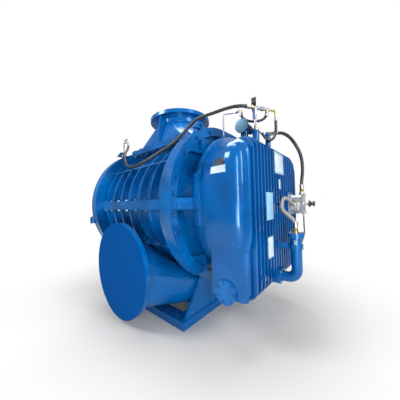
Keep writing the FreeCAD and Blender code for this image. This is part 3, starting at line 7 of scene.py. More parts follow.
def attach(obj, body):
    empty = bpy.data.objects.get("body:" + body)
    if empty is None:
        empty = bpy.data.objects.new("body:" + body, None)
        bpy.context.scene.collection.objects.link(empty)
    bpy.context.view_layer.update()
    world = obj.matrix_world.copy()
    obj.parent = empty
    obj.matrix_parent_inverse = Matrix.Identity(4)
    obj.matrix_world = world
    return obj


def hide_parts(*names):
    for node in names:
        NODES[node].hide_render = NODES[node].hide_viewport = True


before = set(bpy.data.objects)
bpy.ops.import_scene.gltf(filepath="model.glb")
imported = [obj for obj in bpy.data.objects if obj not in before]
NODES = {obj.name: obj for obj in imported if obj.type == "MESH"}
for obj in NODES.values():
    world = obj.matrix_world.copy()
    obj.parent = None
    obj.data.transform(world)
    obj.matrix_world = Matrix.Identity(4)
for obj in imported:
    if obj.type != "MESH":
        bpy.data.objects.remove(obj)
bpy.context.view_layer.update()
bpy.ops.object.select_all(action="DESELECT")


# Camera and daylight
def camera_beside_gear_case():
    """Wide lens at half height, close to the finned gear case and the discharge side."""
    yaw, pitch, roll = (math.radians(a) for a in (40.66, 1.0, -1.65))
    ahead = Vector((-math.sin(yaw) * math.cos(pitch), math.cos(yaw) * math.cos(pitch), math.sin(pitch)))
    level = Vector((math.cos(yaw), math.sin(yaw), 0))
    upright = level.cross(ahead)
    right = level * math.cos(roll) + upright * math.sin(roll)
    up = upright * math.cos(roll) - level * math.sin(roll)
    lens = bpy.data.cameras.new("camera")
    lens.sensor_fit = "HORIZONTAL"
    lens.sensor_width = 36
    lens.lens = 36 * 188.68 / 400
    lens.clip_end = 60
    camera = bpy.data.objects.new("camera", lens)
    bpy.context.collection.objects.link(camera)
    turned = Matrix((right, up, -ahead)).transposed().to_4x4()
    camera.matrix_world = Matrix.Translation((1.52077, -1.46995, 0.942)) @ turned
    bpy.context.scene.camera = camera


def lamp(name, place, aim, width, height, watts, colour=(1, 1, 1)):
    light = bpy.data.lights.new(name, "AREA")
    light.shape = "RECTANGLE"
    light.size = width
    light.size_y = height
    light.energy = watts
    light.color = colour
    body = bpy.data.objects.new(name, light)
    bpy.context.collection.objects.link(body)
    body.location = place
    body.rotation_euler = (Vector(aim) - Vector(place)).to_track_quat("-Z", "Y").to_euler()


def seen_directly(nodes):
    """One where a ray comes from the camera or through glass, and nought elsewhere."""
    path = nodes.new("ShaderNodeLightPath")
    total = path.outputs["Is Camera Ray"]
    join = nodes.new("ShaderNodeMath")
    join.operation = "MAXIMUM"
    nodes.id_data.links.new(total, join.inputs[0])
    nodes.id_data.links.new(path.outputs["Is Transmission Ray"], join.inputs[1])
    return join.outputs[0]


def soft_daylight():
    scene = bpy.context.scene
    scene.view_settings.view_transform = "Standard"
    world = bpy.data.worlds.new("daylight")
    scene.world = world
    world.use_nodes = True
    nodes, links = world.node_tree.nodes, world.node_tree.links
    sky = nodes["Background"]
    sky.inputs["Color"].default_value = (0.72, 0.86, 1, 1)
    sky.inputs["Strength"].default_value = 0.4
    white = nodes.new("ShaderNodeBackground")
    white.inputs["Color"].default_value = (1, 1, 1, 1)
    path = nodes.new("ShaderNodeLightPath")
    mix = nodes.new("ShaderNodeMixShader")
    links.new(path.outputs["Is Camera Ray"], mix.inputs[0])
    links.new(sky.outputs[0], mix.inputs[1])
    links.new(white.outputs[0], mix.inputs[2])
    links.new(mix.outputs[0], nodes["World Output"].inputs["Surface"])
    lamp("high_left_softbox", (-1.4, -3.2, 3.6), (0.1, 0, 0.9), 1.4, 1.4, 124)
    lamp("right_softbox", (4.0, -0.4, 2.4), (0.6, 0, 0.9), 0.9, 2.2, 75)
    lamp("overhead_softbox", (0.3, 0.2, 4.4), (0.2, 0, 0), 2.6, 2.6, 170)
    lamp("corner_strip", (3.5, -3.0, 1.3), (1.0, -0.45, 1.0), 0.3, 2.8, 80)
    lamp("back_softbox", (-2.6, 3.2, 2.4), (0, 0, 0.9), 2.0, 1.6, 80)
    lamp("low_fill", (2.3, -2.3, 0.45), (0.35, -0.3, 0.35), 0.9, 0.7, 21)


def pale_floor():
    bpy.ops.mesh.primitive_plane_add(size=30, location=(0, 0, -0.0005))
    floor = bpy.context.object
    floor.name = "floor"
    matter = bpy.data.materials.new("pale_floor")
    matter.use_nodes = True
    nodes, links = matter.node_tree.nodes, matter.node_tree.links
    nodes.remove(nodes["Principled BSDF"])
    matt = nodes.new("ShaderNodeBsdfDiffuse")
    matt.inputs["Color"].default_value = (0.56, 0.54, 0.51, 1)
    lift = nodes.new("ShaderNodeEmission")
    lift.inputs["Strength"].default_value = 0.03
    both = nodes.new("ShaderNodeAddShader")
    links.new(matt.outputs[0], both.inputs[0])
    links.new(lift.outputs[0], both.inputs[1])
    white = nodes.new("ShaderNodeEmission")
    place = nodes.new("ShaderNodeTexCoord")
    length = nodes.new("ShaderNodeVectorMath")
    length.operation = "LENGTH"
    links.new(place.outputs["Object"], length.inputs[0])
    fade = nodes.new("ShaderNodeMapRange")
    fade.inputs["From Min"].default_value = 1.2
    fade.inputs["From Max"].default_value = 2.1
    fade.interpolation_type = "SMOOTHSTEP"
    links.new(length.outputs["Value"], fade.inputs["Value"])
    near = nodes.new("ShaderNodeMixShader")
    links.new(fade.outputs["Result"], near.inputs[0])
    links.new(both.outputs[0], near.inputs[1])
    links.new(white.outputs[0], near.inputs[2])
    final = nodes.new("ShaderNodeMixShader")
    links.new(seen_directly(nodes), final.inputs[0])
    links.new(matt.outputs[0], final.inputs[1])
    links.new(near.outputs[0], final.inputs[2])
    links.new(final.outputs[0], nodes["Material Output"].inputs["Surface"])
    floor.data.materials.append(matter)


# Shared surface effects
def new_group(name, inputs, outputs):
    tree = bpy.data.node_groups.new(name, "ShaderNodeTree")
    for label, kind, value in inputs:
        socket = tree.interface.new_socket(label, in_out="INPUT", socket_type=kind)
        socket.default_value = value
    for label, kind in outputs:
        tree.interface.new_socket(label, in_out="OUTPUT", socket_type=kind)
    return tree, tree.nodes.new("NodeGroupInput"), tree.nodes.new("NodeGroupOutput")


def noise(tree, scale, detail=3, roughness=0.5, source=None):
    spot = tree.nodes.new("ShaderNodeTexCoord")
    cloud = tree.nodes.new("ShaderNodeTexNoise")
    cloud.inputs["Detail"].default_value = detail
    cloud.inputs["Roughness"].default_value = roughness
    if source is None:
        cloud.inputs["Scale"].default_value = scale
    else:
        tree.links.new(source, cloud.inputs["Scale"])
    tree.links.new(spot.outputs["Object"], cloud.inputs["Vector"])
    return cloud.outputs["Fac"]


def spread(tree, value, low, high, to_low=0.0, to_high=1.0):
    step = tree.nodes.new("ShaderNodeMapRange")
    for name, number in (("From Min", low), ("From Max", high), ("To Min", to_low), ("To Max", to_high)):
        step.inputs[name].default_value = number
    tree.links.new(value, step.inputs["Value"])
    return step.outputs["Result"]


def maths(tree, operation, first, second):
    node = tree.nodes.new("ShaderNodeMath")
    node.operation = operation
    for socket, value in zip(node.inputs, (first, second)):
        if isinstance(value, (int, float)):
            socket.default_value = value
        else:
            tree.links.new(value, socket)
    return node.outputs[0]


def blended(tree, factor, first, second):
    mix = tree.nodes.new("ShaderNodeMix")
    mix.data_type = "RGBA"
    for socket, value in ((mix.inputs["Factor"], factor), (mix.inputs[6], first), (mix.inputs[7], second)):
        if isinstance(value, tuple):
            socket.default_value = (*value, 1)
        elif isinstance(value, (int, float)):
            socket.default_value = value
        else:
            tree.links.new(value, socket)
    return mix.outputs[2]


def cast_skin_group():
    """Sand-cast unevenness under paint, with small pits, and slow waves."""
    tree, taken, given = new_group(
        "cast_skin", [("Grain", "NodeSocketFloat", 60.0)], [("Height", "NodeSocketFloat")])
    fine = noise(tree, 60, 5, 0.6, taken.outputs["Grain"])
    waves = noise(tree, 9, 2)
    total = maths(tree, "ADD", maths(tree, "MULTIPLY", fine, 0.6), maths(tree, "MULTIPLY", waves, 0.8))
    tree.links.new(total, given.inputs["Height"])
    return tree


def paint_shade_group():
    """Cloudy paint colour, paler where dust lies on top."""
    tree, taken, given = new_group(
        "paint_shade",
        [("Deep", "NodeSocketColor", (0, 0.05, 0.2, 1)), ("Bright", "NodeSocketColor", (0, 0.1, 0.4, 1)),
         ("Dust", "NodeSocketFloat", 0.2)],
        [("Color", "NodeSocketColor"), ("Roughness", "NodeSocketFloat")])
    cloud = spread(tree, noise(tree, 3.2, 4), 0.35, 0.65)
    colour = blended(tree, cloud, taken.outputs["Deep"], taken.outputs["Bright"])
    face = tree.nodes.new("ShaderNodeNewGeometry")
    split = tree.nodes.new("ShaderNodeSeparateXYZ")
    tree.links.new(face.outputs["Normal"], split.inputs[0])
    level = spread(tree, split.outputs["Z"], 0.6, 1.0)
    specks = spread(tree, noise(tree, 38, 6, 0.65), 0.42, 0.75)
    dust = maths(tree, "MULTIPLY", maths(tree, "MULTIPLY", level, specks), taken.outputs["Dust"])
    tree.links.new(blended(tree, dust, colour, (0.35, 0.42, 0.5)), given.inputs["Color"])
    sheen = spread(tree, noise(tree, 14, 4), 0.3, 0.7, 0.16, 0.3)
    tree.links.new(maths(tree, "ADD", sheen, maths(tree, "MULTIPLY", dust, 0.5)), given.inputs["Roughness"])
    return tree


def machined_group():
    """Fine turning marks with faint stains."""
    tree, taken, given = new_group(
        "machined", [("Tone", "NodeSocketColor", (0.5, 0.5, 0.5, 1))],
        [("Color", "NodeSocketColor"), ("Roughness", "NodeSocketFloat"), ("Height", "NodeSocketFloat")])
    stain = spread(tree, noise(tree, 22, 5, 0.6), 0.4, 0.75)
    stained = maths(tree, "MULTIPLY", stain, 0.35)
    tree.links.new(blended(tree, stained, taken.outputs["Tone"], (0.12, 0.11, 0.1)), given.inputs["Color"])
    tree.links.new(spread(tree, noise(tree, 90, 3), 0.3, 0.7, 0.24, 0.42), given.inputs["Roughness"])
    tree.links.new(noise(tree, 420, 2), given.inputs["Height"])
    return tree


def new_finish(name, colour, roughness=0.4, metallic=0.0, coat=0.0):
    finish = bpy.data.materials.new(name)
    finish.use_nodes = True
    shader = finish.node_tree.nodes["Principled BSDF"]
    shader.inputs["Base Color"].default_value = (*colour, 1)
    shader.inputs["Roughness"].default_value = roughness
    shader.inputs["Metallic"].default_value = metallic
    shader.inputs["Coat Weight"].default_value = coat
    shader.inputs["Coat Roughness"].default_value = 0.08
    return finish, finish.node_tree, shader


def add_bump(tree, shader, height, strength, depth):
    bump = tree.nodes.new("ShaderNodeBump")
    bump.inputs["Strength"].default_value = strength
    bump.inputs["Distance"].default_value = depth
    tree.links.new(height, bump.inputs["Height"])
    tree.links.new(bump.outputs["Normal"], shader.inputs["Normal"])


def placed_group(tree, group, **values):
    node = tree.nodes.new("ShaderNodeGroup")
    node.node_tree = group
    for name, value in values.items():
        node.inputs[name].default_value = (*value, 1) if isinstance(value, tuple) else value
    return node


CAST_SKIN = cast_skin_group()
PAINT_SHADE = paint_shade_group()
MACHINED = machined_group()


def blue_paint(name, deep, bright, grain, strength, depth, dust=0.25, coat=0.28):
    finish, tree, shader = new_finish(name, bright, 0.3, 0, coat)
    shader.inputs["Specular IOR Level"].default_value = 0.6
    shader.inputs["Specular Tint"].default_value = (0.3, 0.72, 1, 1)
    shade = placed_group(tree, PAINT_SHADE, Deep=deep, Bright=bright, Dust=dust)
    tree.links.new(shade.outputs["Color"], shader.inputs["Base Color"])
    tree.links.new(shade.outputs["Roughness"], shader.inputs["Roughness"])
    skin = placed_group(tree, CAST_SKIN, Grain=grain)
    add_bump(tree, shader, skin.outputs["Height"], strength, depth)
    return finish


def matt_paint(name, deep, bright):
    """Even, dull coat, as on the blank's guard sheet."""
    finish, tree, shader = new_finish(name, bright, 0.75)
    shader.inputs["Specular IOR Level"].default_value = 0.02
    tree.links.new(blended(tree, noise(tree, 2.5, 2), deep, bright), shader.inputs["Base Color"])
    add_bump(tree, shader, noise(tree, 140, 2), 0.05, 0.0004)
    return finish


def printed_sheet(name, ground, tint, scale=18.0):
    """Thin printed metal or film, slightly faded in patches."""
    finish, tree, shader = new_finish(name, ground, 0.4)
    shader.inputs["Specular IOR Level"].default_value = 0.25
    faded = spread(tree, noise(tree, scale, 4), 0.4, 0.7)
    tree.links.new(blended(tree, faded, ground, tint), shader.inputs["Base Color"])
    tree.links.new(spread(tree, noise(tree, 60, 3), 0.3, 0.7, 0.3, 0.5), shader.inputs["Roughness"])
    return finish


def clear_pane(name):
    finish, tree, shader = new_finish(name, (0.9, 0.95, 0.97), 0.04)
    tree.links.new(spread(tree, noise(tree, 30, 2), 0.3, 0.7, 0.08, 0.14), shader.inputs["Alpha"])
    return finish


def bare_metal(name, tone, strength=0.15, metallic=1.0):
    finish, tree, shader = new_finish(name, tone, 0.3, metallic)
    cut = placed_group(tree, MACHINED, Tone=tone)
    tree.links.new(cut.outputs["Color"], shader.inputs["Base Color"])
    tree.links.new(cut.outputs["Roughness"], shader.inputs["Roughness"])
    add_bump(tree, shader, cut.outputs["Height"], strength, 0.0004)
    return finish


def supple(name, colour, worn, roughness, grain=260, depth=0.0004):
    """Rubber or plastic, scuffed in patches."""
    finish, tree, shader = new_finish(name, colour, roughness)
    patch = spread(tree, noise(tree, 24, 5, 0.6), 0.45, 0.75)
    tree.links.new(blended(tree, patch, colour, worn), shader.inputs["Base Color"])
    tree.links.new(spread(tree, patch, 0, 1, roughness, roughness + 0.18), shader.inputs["Roughness"])
    add_bump(tree, shader, noise(tree, grain, 3), 0.25, depth)
    return finish


def braid(name, colour, shadow, strands, turns):
    """Woven sleeve on a hose, from the hose's own lengthwise and roundabout coordinates."""
    finish, tree, shader = new_finish(name, colour, 0.7)
    spot = tree.nodes.new("ShaderNodeTexCoord")
    split = tree.nodes.new("ShaderNodeSeparateXYZ")
    tree.links.new(spot.outputs["UV"], split.inputs[0])
    ways = []
    for sign in (1, -1):
        slant = maths(tree, "ADD", maths(tree, "MULTIPLY", split.outputs["X"], strands * sign * 2 * math.pi),
                      maths(tree, "MULTIPLY", split.outputs["Y"], turns * 2 * math.pi))
        ways.append(maths(tree, "SINE", slant, 0))
    weave = maths(tree, "MAXIMUM", ways[0], ways[1])
    depth = spread(tree, weave, -0.2, 1)
    tree.links.new(blended(tree, depth, shadow, colour), shader.inputs["Base Color"])
    add_bump(tree, shader, depth, 0.6, 0.0009)
    return finish


FINISHES = {
    "cast_blue": blue_paint("cast_blue", (0.0, 0.045, 0.175), (0.0, 0.112, 0.37), 70, 0.5, 0.0035),
    "sheet_blue": blue_paint("sheet_blue", (0.0, 0.062, 0.235), (0.0, 0.105, 0.355), 120, 0.18, 0.0012, 0.08),
    # Painted shade: the gear case gets a darker copy of the sheet blue, which stands in for the shade on its
    # side.
    "case_blue_painted_shade": blue_paint("case_blue_painted_shade", (0.0, 0.05, 0.2), (0.0, 0.088, 0.31), 150, 0.25, 0.0015, 0.08),
    "bolt_blue": blue_paint("bolt_blue", (0.0, 0.04, 0.15), (0.0, 0.085, 0.28), 220, 0.3, 0.0008),
    "blank_blue": matt_paint("blank_blue", (0.001, 0.06, 0.236), (0.001, 0.063, 0.246)),
    "dark_blue": blue_paint("dark_blue", (0.0, 0.01, 0.045), (0.001, 0.024, 0.1), 160, 0.2, 0.0008,
                            dust=0.0, coat=0.04),
    "valve_nickel": bare_metal("valve_nickel", (0.66, 0.65, 0.62), 0.1, 0.9),
    "rotor_iron": bare_metal("rotor_iron", (0.3, 0.3, 0.31), 0.3, 0.8),
    "machined_steel": bare_metal("machined_steel", (0.56, 0.57, 0.58)),
    "zinc_steel": bare_metal("zinc_steel", (0.62, 0.62, 0.6), 0.1),
    "pump_aluminium": bare_metal("pump_aluminium", (0.66, 0.67, 0.68), 0.35, 0.7),
    "brass": bare_metal("brass", (0.7, 0.5, 0.2), 0.1),
    "pipe_grey": bare_metal("pipe_grey", (0.36, 0.38, 0.4), 0.15, 0.7),
    "black_rubber": supple("black_rubber", (0.012, 0.012, 0.014), (0.05, 0.05, 0.052), 0.38),
    "seal_rubber": supple("seal_rubber", (0.015, 0.015, 0.015), (0.03, 0.03, 0.03), 0.6),
    "gauge_black": supple("gauge_black", (0.012, 0.012, 0.013), (0.03, 0.03, 0.03), 0.35),
    "lever_black": supple("lever_black", (0.02, 0.02, 0.022), (0.1, 0.1, 0.1), 0.4),
    "lever_blue": supple("lever_blue", (0.012, 0.03, 0.3), (0.02, 0.05, 0.4), 0.35),
    "clear_tube": supple("clear_tube", (0.05, 0.05, 0.05), (0.12, 0.12, 0.12), 0.3),
    "plate_silver": printed_sheet("plate_silver", (0.3, 0.42, 0.52), (0.2, 0.3, 0.42)),
    "plate_white": printed_sheet("plate_white", (0.56, 0.62, 0.68), (0.42, 0.5, 0.58)),
    "plate_pale_blue": printed_sheet("plate_pale_blue", (0.2, 0.42, 0.6), (0.3, 0.5, 0.64)),
    "plate_black": printed_sheet("plate_black", (0.014, 0.014, 0.016), (0.04, 0.04, 0.045)),
    "clear_pane": clear_pane("clear_pane"),
    "dial_white": printed_sheet("dial_white", (0.82, 0.82, 0.8), (0.74, 0.73, 0.7)),
    "ink_black": printed_sheet("ink_black", (0.01, 0.01, 0.01), (0.03, 0.03, 0.03)),
    "grey_braid": braid("grey_braid", (0.4, 0.37, 0.33), (0.12, 0.11, 0.1), 70, 9),
}
NODE_FINISH = {
    "cast_blue": ["upper_casing", "lower_casing", "gear_end_plate_upper", "gear_end_plate_lower",
                  "drive_end_plate_upper", "drive_end_plate_lower", "drive_end_cover", "gear_carrier_ring"],
    "sheet_blue": ["inlet_nozzle", "discharge_nozzle", "pedestal", "base_frame", "sump_cover", "oil_cup",
                   "filter_vessel", "filter_cover", "filter_bracket"],
    # The gear case takes the darker copy of the sheet blue, which is painted shade.
    "case_blue_painted_shade": ["gear_case"],
    "bolt_blue": ["split_flange_bolts", "end_plate_bolts", "inlet_foot_bolts", "gear_case_bolts", "oil_plugs",
                  "sump_cover_bolts"],
    "blank_blue": ["discharge_blank"],
    "rotor_iron": ["front_rotor", "rear_rotor"],
    "machined_steel": ["front_shaft", "rear_shaft", "front_timing_gear", "rear_timing_gear", "front_gear_nut",
                       "rear_gear_nut", "front_inner_rings", "rear_inner_rings", "bearing_outer_rings",
                       "bearing_rollers", "bearing_covers", "filter_basket"],
    "zinc_steel": ["oil_system_bolts"],
    "seal_rubber": ["shaft_seals"],
    "pump_aluminium": ["oil_pump"],
    "brass": ["hose_fittings"],
    "valve_nickel": ["ball_valves"],
    "pipe_grey": ["manifold", "riser_pipes"],
    "dark_blue": ["breather"],
    "lever_black": ["relief_knob", "gauge_needle"],
    "lever_blue": ["manifold_lever", "vent_lever", "drive_end_lever"],
    "gauge_black": ["gauge_case"],
}
for finish_name, names in NODE_FINISH.items():
    for node_name in names:
        slots = NODES[node_name].data.materials
        for index in range(len(slots)):
            slots[index] = FINISHES[finish_name]

camera_beside_gear_case()

# Hoses, each through the corner points of its route
SUCTION = [(1.112, 0.152, 0.914), (1.112, 0.112, 0.914), (1.104, 0.060, 0.940), (1.094, 0.004, 0.966),
           (1.087, -0.042, 0.958), (1.084, -0.072, 0.920), (1.088, -0.082, 0.884), (1.124, -0.070, 0.842),
           (1.166, -0.052, 0.800), (1.166, -0.052, 0.764)]
PRESSURE = [(1.150, 0.235, 1.040), (1.150, 0.235, 1.088), (1.160, 0.248, 1.175), (1.158, 0.252, 1.265),
            (1.145, 0.242, 1.340), (1.120, 0.210, 1.405), (1.096, 0.160, 1.455), (1.066, 0.096, 1.478),
            (1.040, 0.040, 1.472), (1.022, 0, 1.462)]
DRIVE = [(0.9397, -0.2218, 1.616), (0.9195, -0.2586, 1.616), (0.865, -0.285, 1.626), (0.790, -0.312, 1.622),
         (0.700, -0.346, 1.606), (0.620, -0.378, 1.594), (0.560, -0.394, 1.576), (0.500, -0.410, 1.530),
         (0.440, -0.440, 1.470), (0.385, -0.470, 1.422), (0.322, -0.500, 1.385), (0.254, -0.540, 1.345),
         (0.182, -0.566, 1.312), (0.105, -0.582, 1.290), (0.020, -0.588, 1.280), (-0.070, -0.580, 1.292),
         (-0.160, -0.556, 1.314), (-0.240, -0.520, 1.344), (-0.310, -0.492, 1.382), (-0.372, -0.470, 1.436),
         (-0.418, -0.446, 1.486), (-0.452, -0.412, 1.532), (-0.472, -0.372, 1.585), (-0.472, -0.372, 1.640)]
BYPASS = [(1.0487, -0.0238, 1.570), (1.0487, -0.0238, 1.525), (1.050, -0.028, 1.468), (1.046, -0.054, 1.412),
          (1.026, -0.088, 1.384), (1.004, -0.116, 1.398), (0.990, -0.131, 1.430), (0.974, -0.160, 1.462)]
CROSS = [(0.834, -0.155, 1.638), (0.834, -0.155, 1.608), (0.852, -0.153, 1.578), (0.890, -0.145, 1.552),
         (0.940, -0.1246, 1.540), (0.9826, -0.1063, 1.546), (1.0049, -0.0963, 1.566), (1.010, -0.094, 1.596)]
VENT = [(1.158, 0.235, 0.820), (1.158, 0.235, 0.790), (1.166, 0.196, 0.748), (1.182, 0.130, 0.704),
        (1.188, 0.070, 0.680), (1.186, 0.024, 0.650), (1.176, -0.004, 0.620), (1.176, -0.004, 0.582)]


def hose(node, route, diameter, finish):
    line = bpy.data.curves.new(node + "_line", "CURVE")
    line.dimensions = "3D"
    spline = line.splines.new("NURBS")
    spline.points.add(len(route) - 1)
    for point, place in zip(spline.points, route):
        point.co = (*place, 1)
    spline.order_u = 3
    spline.use_endpoint_u = True
    spline.resolution_u = 10
    line.bevel_depth = diameter / 2
    line.bevel_resolution = 5
    line.use_fill_caps = True
    line.materials.append(FINISHES[finish])
    piece = bpy.data.objects.new(node + "_line", line)
    bpy.context.collection.objects.link(piece)
    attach(piece, "housing")
    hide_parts(node)
    return piece


hose("suction_hose", SUCTION, 0.025, "grey_braid")
hose("pressure_hose", PRESSURE, 0.025, "black_rubber")
hose("drive_end_hose", DRIVE, 0.025, "black_rubber")
hose("bypass_hose", BYPASS, 0.020, "black_rubber")
hose("cross_hose", CROSS, 0.020, "black_rubber")
hose("vent_tube", VENT, 0.010, "clear_tube")


# Hand-modelled pieces: plates, gauge face, ferrules and weld beads
def pick(piece, kind, test):
    """Open the mesh with just the vertices, edges or faces that pass the test selected."""
    bpy.ops.object.mode_set(mode="EDIT")
    bpy.ops.mesh.select_mode(type=kind)
    bpy.ops.mesh.select_all(action="DESELECT")
    bpy.ops.object.mode_set(mode="OBJECT")
    parts = {"VERT": piece.data.vertices, "EDGE": piece.data.edges, "FACE": piece.data.polygons}[kind]
    for part in parts:
        part.select = test(part)
    bpy.ops.object.mode_set(mode="EDIT")


def push(x, y, z):
    bpy.ops.mesh.extrude_region_move(TRANSFORM_OT_translate={"value": (x, y, z)})


def close_up():
    bpy.ops.object.mode_set(mode="OBJECT")


def named(name, *finishes):
    piece = bpy.context.object
    piece.name = name
    piece.data.name = name
    for finish in finishes:
        piece.data.materials.append(FINISHES[finish])
    return piece


def only(*pieces):
    bpy.ops.object.select_all(action="DESELECT")
    for piece in pieces:
        piece.select_set(True)
    bpy.context.view_layer.objects.active = pieces[0]


def settle(piece, matrix=None):
    """Put the piece where it belongs and keep its place in its mesh."""
    only(piece)
    if matrix is not None:
        piece.matrix_world = matrix
    bpy.ops.object.transform_apply(location=True, rotation=True, scale=True)
    return piece


def copy_to(piece, matrix):
    twin = piece.copy()
    twin.data = piece.data.copy()
    bpy.context.collection.objects.link(twin)
    return settle(twin, matrix)


def joined(name, pieces):
    only(*pieces)
    if len(pieces) > 1:
        bpy.ops.object.join()
    pieces[0].name = name
    bpy.ops.object.shade_smooth_by_angle(angle=math.radians(38))
    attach(pieces[0], "housing")
    return pieces[0]


def facing(point, way, up=(0, 0, 1)):
    """Frame at a point with its Z along way and its Y towards up."""
    z = Vector(way).normalized()
    x = Vector(up).cross(z).normalized()
    y = z.cross(x)
    return Matrix.Translation(point) @ Matrix((x, y, z)).transposed().to_4x4()


def rivet(radius=0.0032):
    """Domed rivet head on the plane Z = 0."""
    bpy.ops.mesh.primitive_cylinder_add(vertices=20, radius=radius, depth=0.0008, location=(0, 0, 0.0004))
    head = named("rivet", "zinc_steel")
    settle(head)
    pick(head, "FACE", lambda face: face.normal.z > 0.9)
    for share in (0.86, 0.6):
        push(0, 0, 0.0004)
        bpy.ops.transform.resize(value=(share, share, 1))
    close_up()
    return head


def rounded_sheet(name, width, height, thickness, corner, finish):
    """Flat sheet with rounded corners and a softened front edge."""
    bpy.ops.mesh.primitive_cube_add(size=1, scale=(width, height, thickness))
    sheet = named(name, finish)
    settle(sheet)
    pick(sheet, "EDGE", lambda edge: sheet.data.vertices[edge.vertices[0]].co.z
         * sheet.data.vertices[edge.vertices[1]].co.z < 0)
    bpy.ops.mesh.bevel(offset=corner, segments=4, affect="EDGES")
    close_up()
    pick(sheet, "FACE", lambda face: face.normal.z > 0.9)
    bpy.ops.mesh.inset(thickness=thickness * 0.3, depth=thickness * 0.15)
    close_up()
    return sheet


def riveted_plate(name, centre, width, height, rim, field, border):
    """Sheet plate on the fin tips, with rounded corners, a bare field and four rivets."""
    plate = rounded_sheet(name, width, height, 0.0016, 0.005, rim)
    print_field = rounded_sheet("field", width - 2 * border, height - 2 * border, 0.0004, 0.002, field)
    parts = [plate, settle(print_field, Matrix.Translation((0, 0, 0.001)))]
    head = rivet()
    for x in (-1, 1):
        for y in (-1, 1):
            spot = (x * (width / 2 - border / 2 - 0.001), y * (height / 2 - border / 2 - 0.001), 0.0008)
            parts.append(copy_to(head, Matrix.Translation(spot)))
    bpy.data.objects.remove(head)
    only(*parts)
    bpy.ops.object.join()
    settle(plate, facing(Vector(centre) + Vector((0.0008, 0, 0)), (1, 0, 0)))
    return joined(name, [plate])


def film(name, centre, way, width, height, target, finish, border=None):
    """Thin label that follows the surface under it."""
    bpy.ops.mesh.primitive_grid_add(x_subdivisions=24, y_subdivisions=16, size=1)
    label = named(name, finish, border or finish)
    label.scale = (width, height, 1)
    settle(label)
    pick(label, "FACE", lambda face: abs(face.center.x) > width * 0.455 or abs(face.center.y) > height * 0.43)
    label.active_material_index = 1
    bpy.ops.object.material_slot_assign()
    close_up()
    settle(label, facing(centre, way))
    wrap = label.modifiers.new("lay", "SHRINKWRAP")
    wrap.target = NODES[target]
    wrap.wrap_method = "NEAREST_SURFACEPOINT"
    wrap.wrap_mode = "ABOVE_SURFACE"
    wrap.offset = 0.0012
    thick = label.modifiers.new("thick", "SOLIDIFY")
    thick.thickness = 0.0009
    only(label)
    bpy.ops.object.modifier_apply(modifier="lay")
    bpy.ops.object.modifier_apply(modifier="thick")
    return joined(name, [label])


def gauge_face():
    """Dial with ticks and plain numbers, a stepped bezel and a pane."""
    way = Vector((0.9, 0.436, 0)).normalized()
    front = facing(GAUGE, way)
    bpy.ops.mesh.primitive_cylinder_add(vertices=64, radius=0.0246, depth=0.00016)
    dial = named("gauge_dial", "dial_white", "ink_black")
    settle(dial)
    pick(dial, "FACE", lambda face: face.normal.z > 0.9)
    bpy.ops.mesh.inset(thickness=0.0012, depth=0)
    close_up()
    marks = [dial]
    for k in range(31):
        turn = math.radians(225 - 9 * k)
        long = k % 5 == 0
        length, width, reach = (0.0045, 0.0005, 0.0205) if long else (0.0026, 0.0003, 0.0214)
        bpy.ops.mesh.primitive_cube_add(size=1, scale=(length, width, 0.00006))
        tick = named("tick", "ink_black")
        settle(tick)
        marks.append(settle(tick, Matrix.Rotation(turn, 4, "Z") @ Matrix.Translation((reach, 0, 0.0001))))
        if long:
            bpy.ops.object.text_add()
            number = bpy.context.object
            number.data.body = str(k // 5)
            number.data.size = 0.0052
            number.data.align_x = "CENTER"
            number.data.align_y = "CENTER"
            bpy.ops.object.convert(target="MESH")
            number = named("number", "ink_black")
            spot = (0.0145 * math.cos(turn), 0.0145 * math.sin(turn), 0.00014)
            marks.append(settle(number, Matrix.Translation(spot)))
    only(*marks)
    bpy.ops.object.join()
    settle(dial, front @ Matrix.Translation((0, 0, -0.0089)))
    joined("gauge_dial", [dial])
    bpy.ops.mesh.primitive_cylinder_add(vertices=64, radius=0.0308, depth=0.007)
    bezel = named("gauge_bezel", "gauge_black")
    settle(bezel)
    pick(bezel, "FACE", lambda face: face.normal.z > 0.9)
    bpy.ops.mesh.inset(thickness=0.0045, depth=0)
    push(0, 0, -0.0025)
    bpy.ops.mesh.delete(type="FACE")
    close_up()
    pick(bezel, "FACE", lambda face: face.normal.z < -0.9)
    bpy.ops.mesh.delete(type="FACE")
    close_up()
    pick(bezel, "EDGE", lambda edge: all(bezel.data.vertices[v].co.z > 0.0034 for v in edge.vertices))
    bpy.ops.mesh.bevel(offset=0.0009, segments=3, affect="EDGES")
    close_up()
    settle(bezel, front @ Matrix.Translation((0, 0, -0.002)))
    joined("gauge_bezel", [bezel])
    bpy.ops.mesh.primitive_cylinder_add(vertices=64, radius=0.0262, depth=0.0012)
    pane = named("gauge_pane", "clear_pane")
    settle(pane)
    pick(pane, "FACE", lambda face: face.normal.z > 0.9)
    bpy.ops.mesh.inset(thickness=0.002, depth=0.0004)
    close_up()
    settle(pane, front @ Matrix.Translation((0, 0, -0.0012)))
    joined("gauge_pane", [pane])


def ferrule(name, end, inner, radius, finish):
    """Crimped sleeve over a hose end, from the end towards the hose's inner corner."""
    bpy.ops.mesh.primitive_cylinder_add(vertices=36, radius=radius, depth=0.004, location=(0, 0, 0.002))
    sleeve = named(name, finish)
    settle(sleeve)
    pick(sleeve, "FACE", lambda face: face.normal.z > 0.9)
    for _ in range(4):
        push(0, 0, 0.0008)
        bpy.ops.transform.resize(value=(0.93, 0.93, 1))
        push(0, 0, 0.0026)
        push(0, 0, 0.0008)
        bpy.ops.transform.resize(value=(1 / 0.93, 1 / 0.93, 1))
        push(0, 0, 0.0022)
    push(0, 0, 0.0006)
    bpy.ops.transform.resize(value=(0.9, 0.9, 1))
    close_up()
    along = Vector(inner) - Vector(end)
    up = (0, 0, 1) if abs(along.normalized().z) < 0.9 else (0, 1, 0)
    settle(sleeve, facing(end, along, up))
    return sleeve


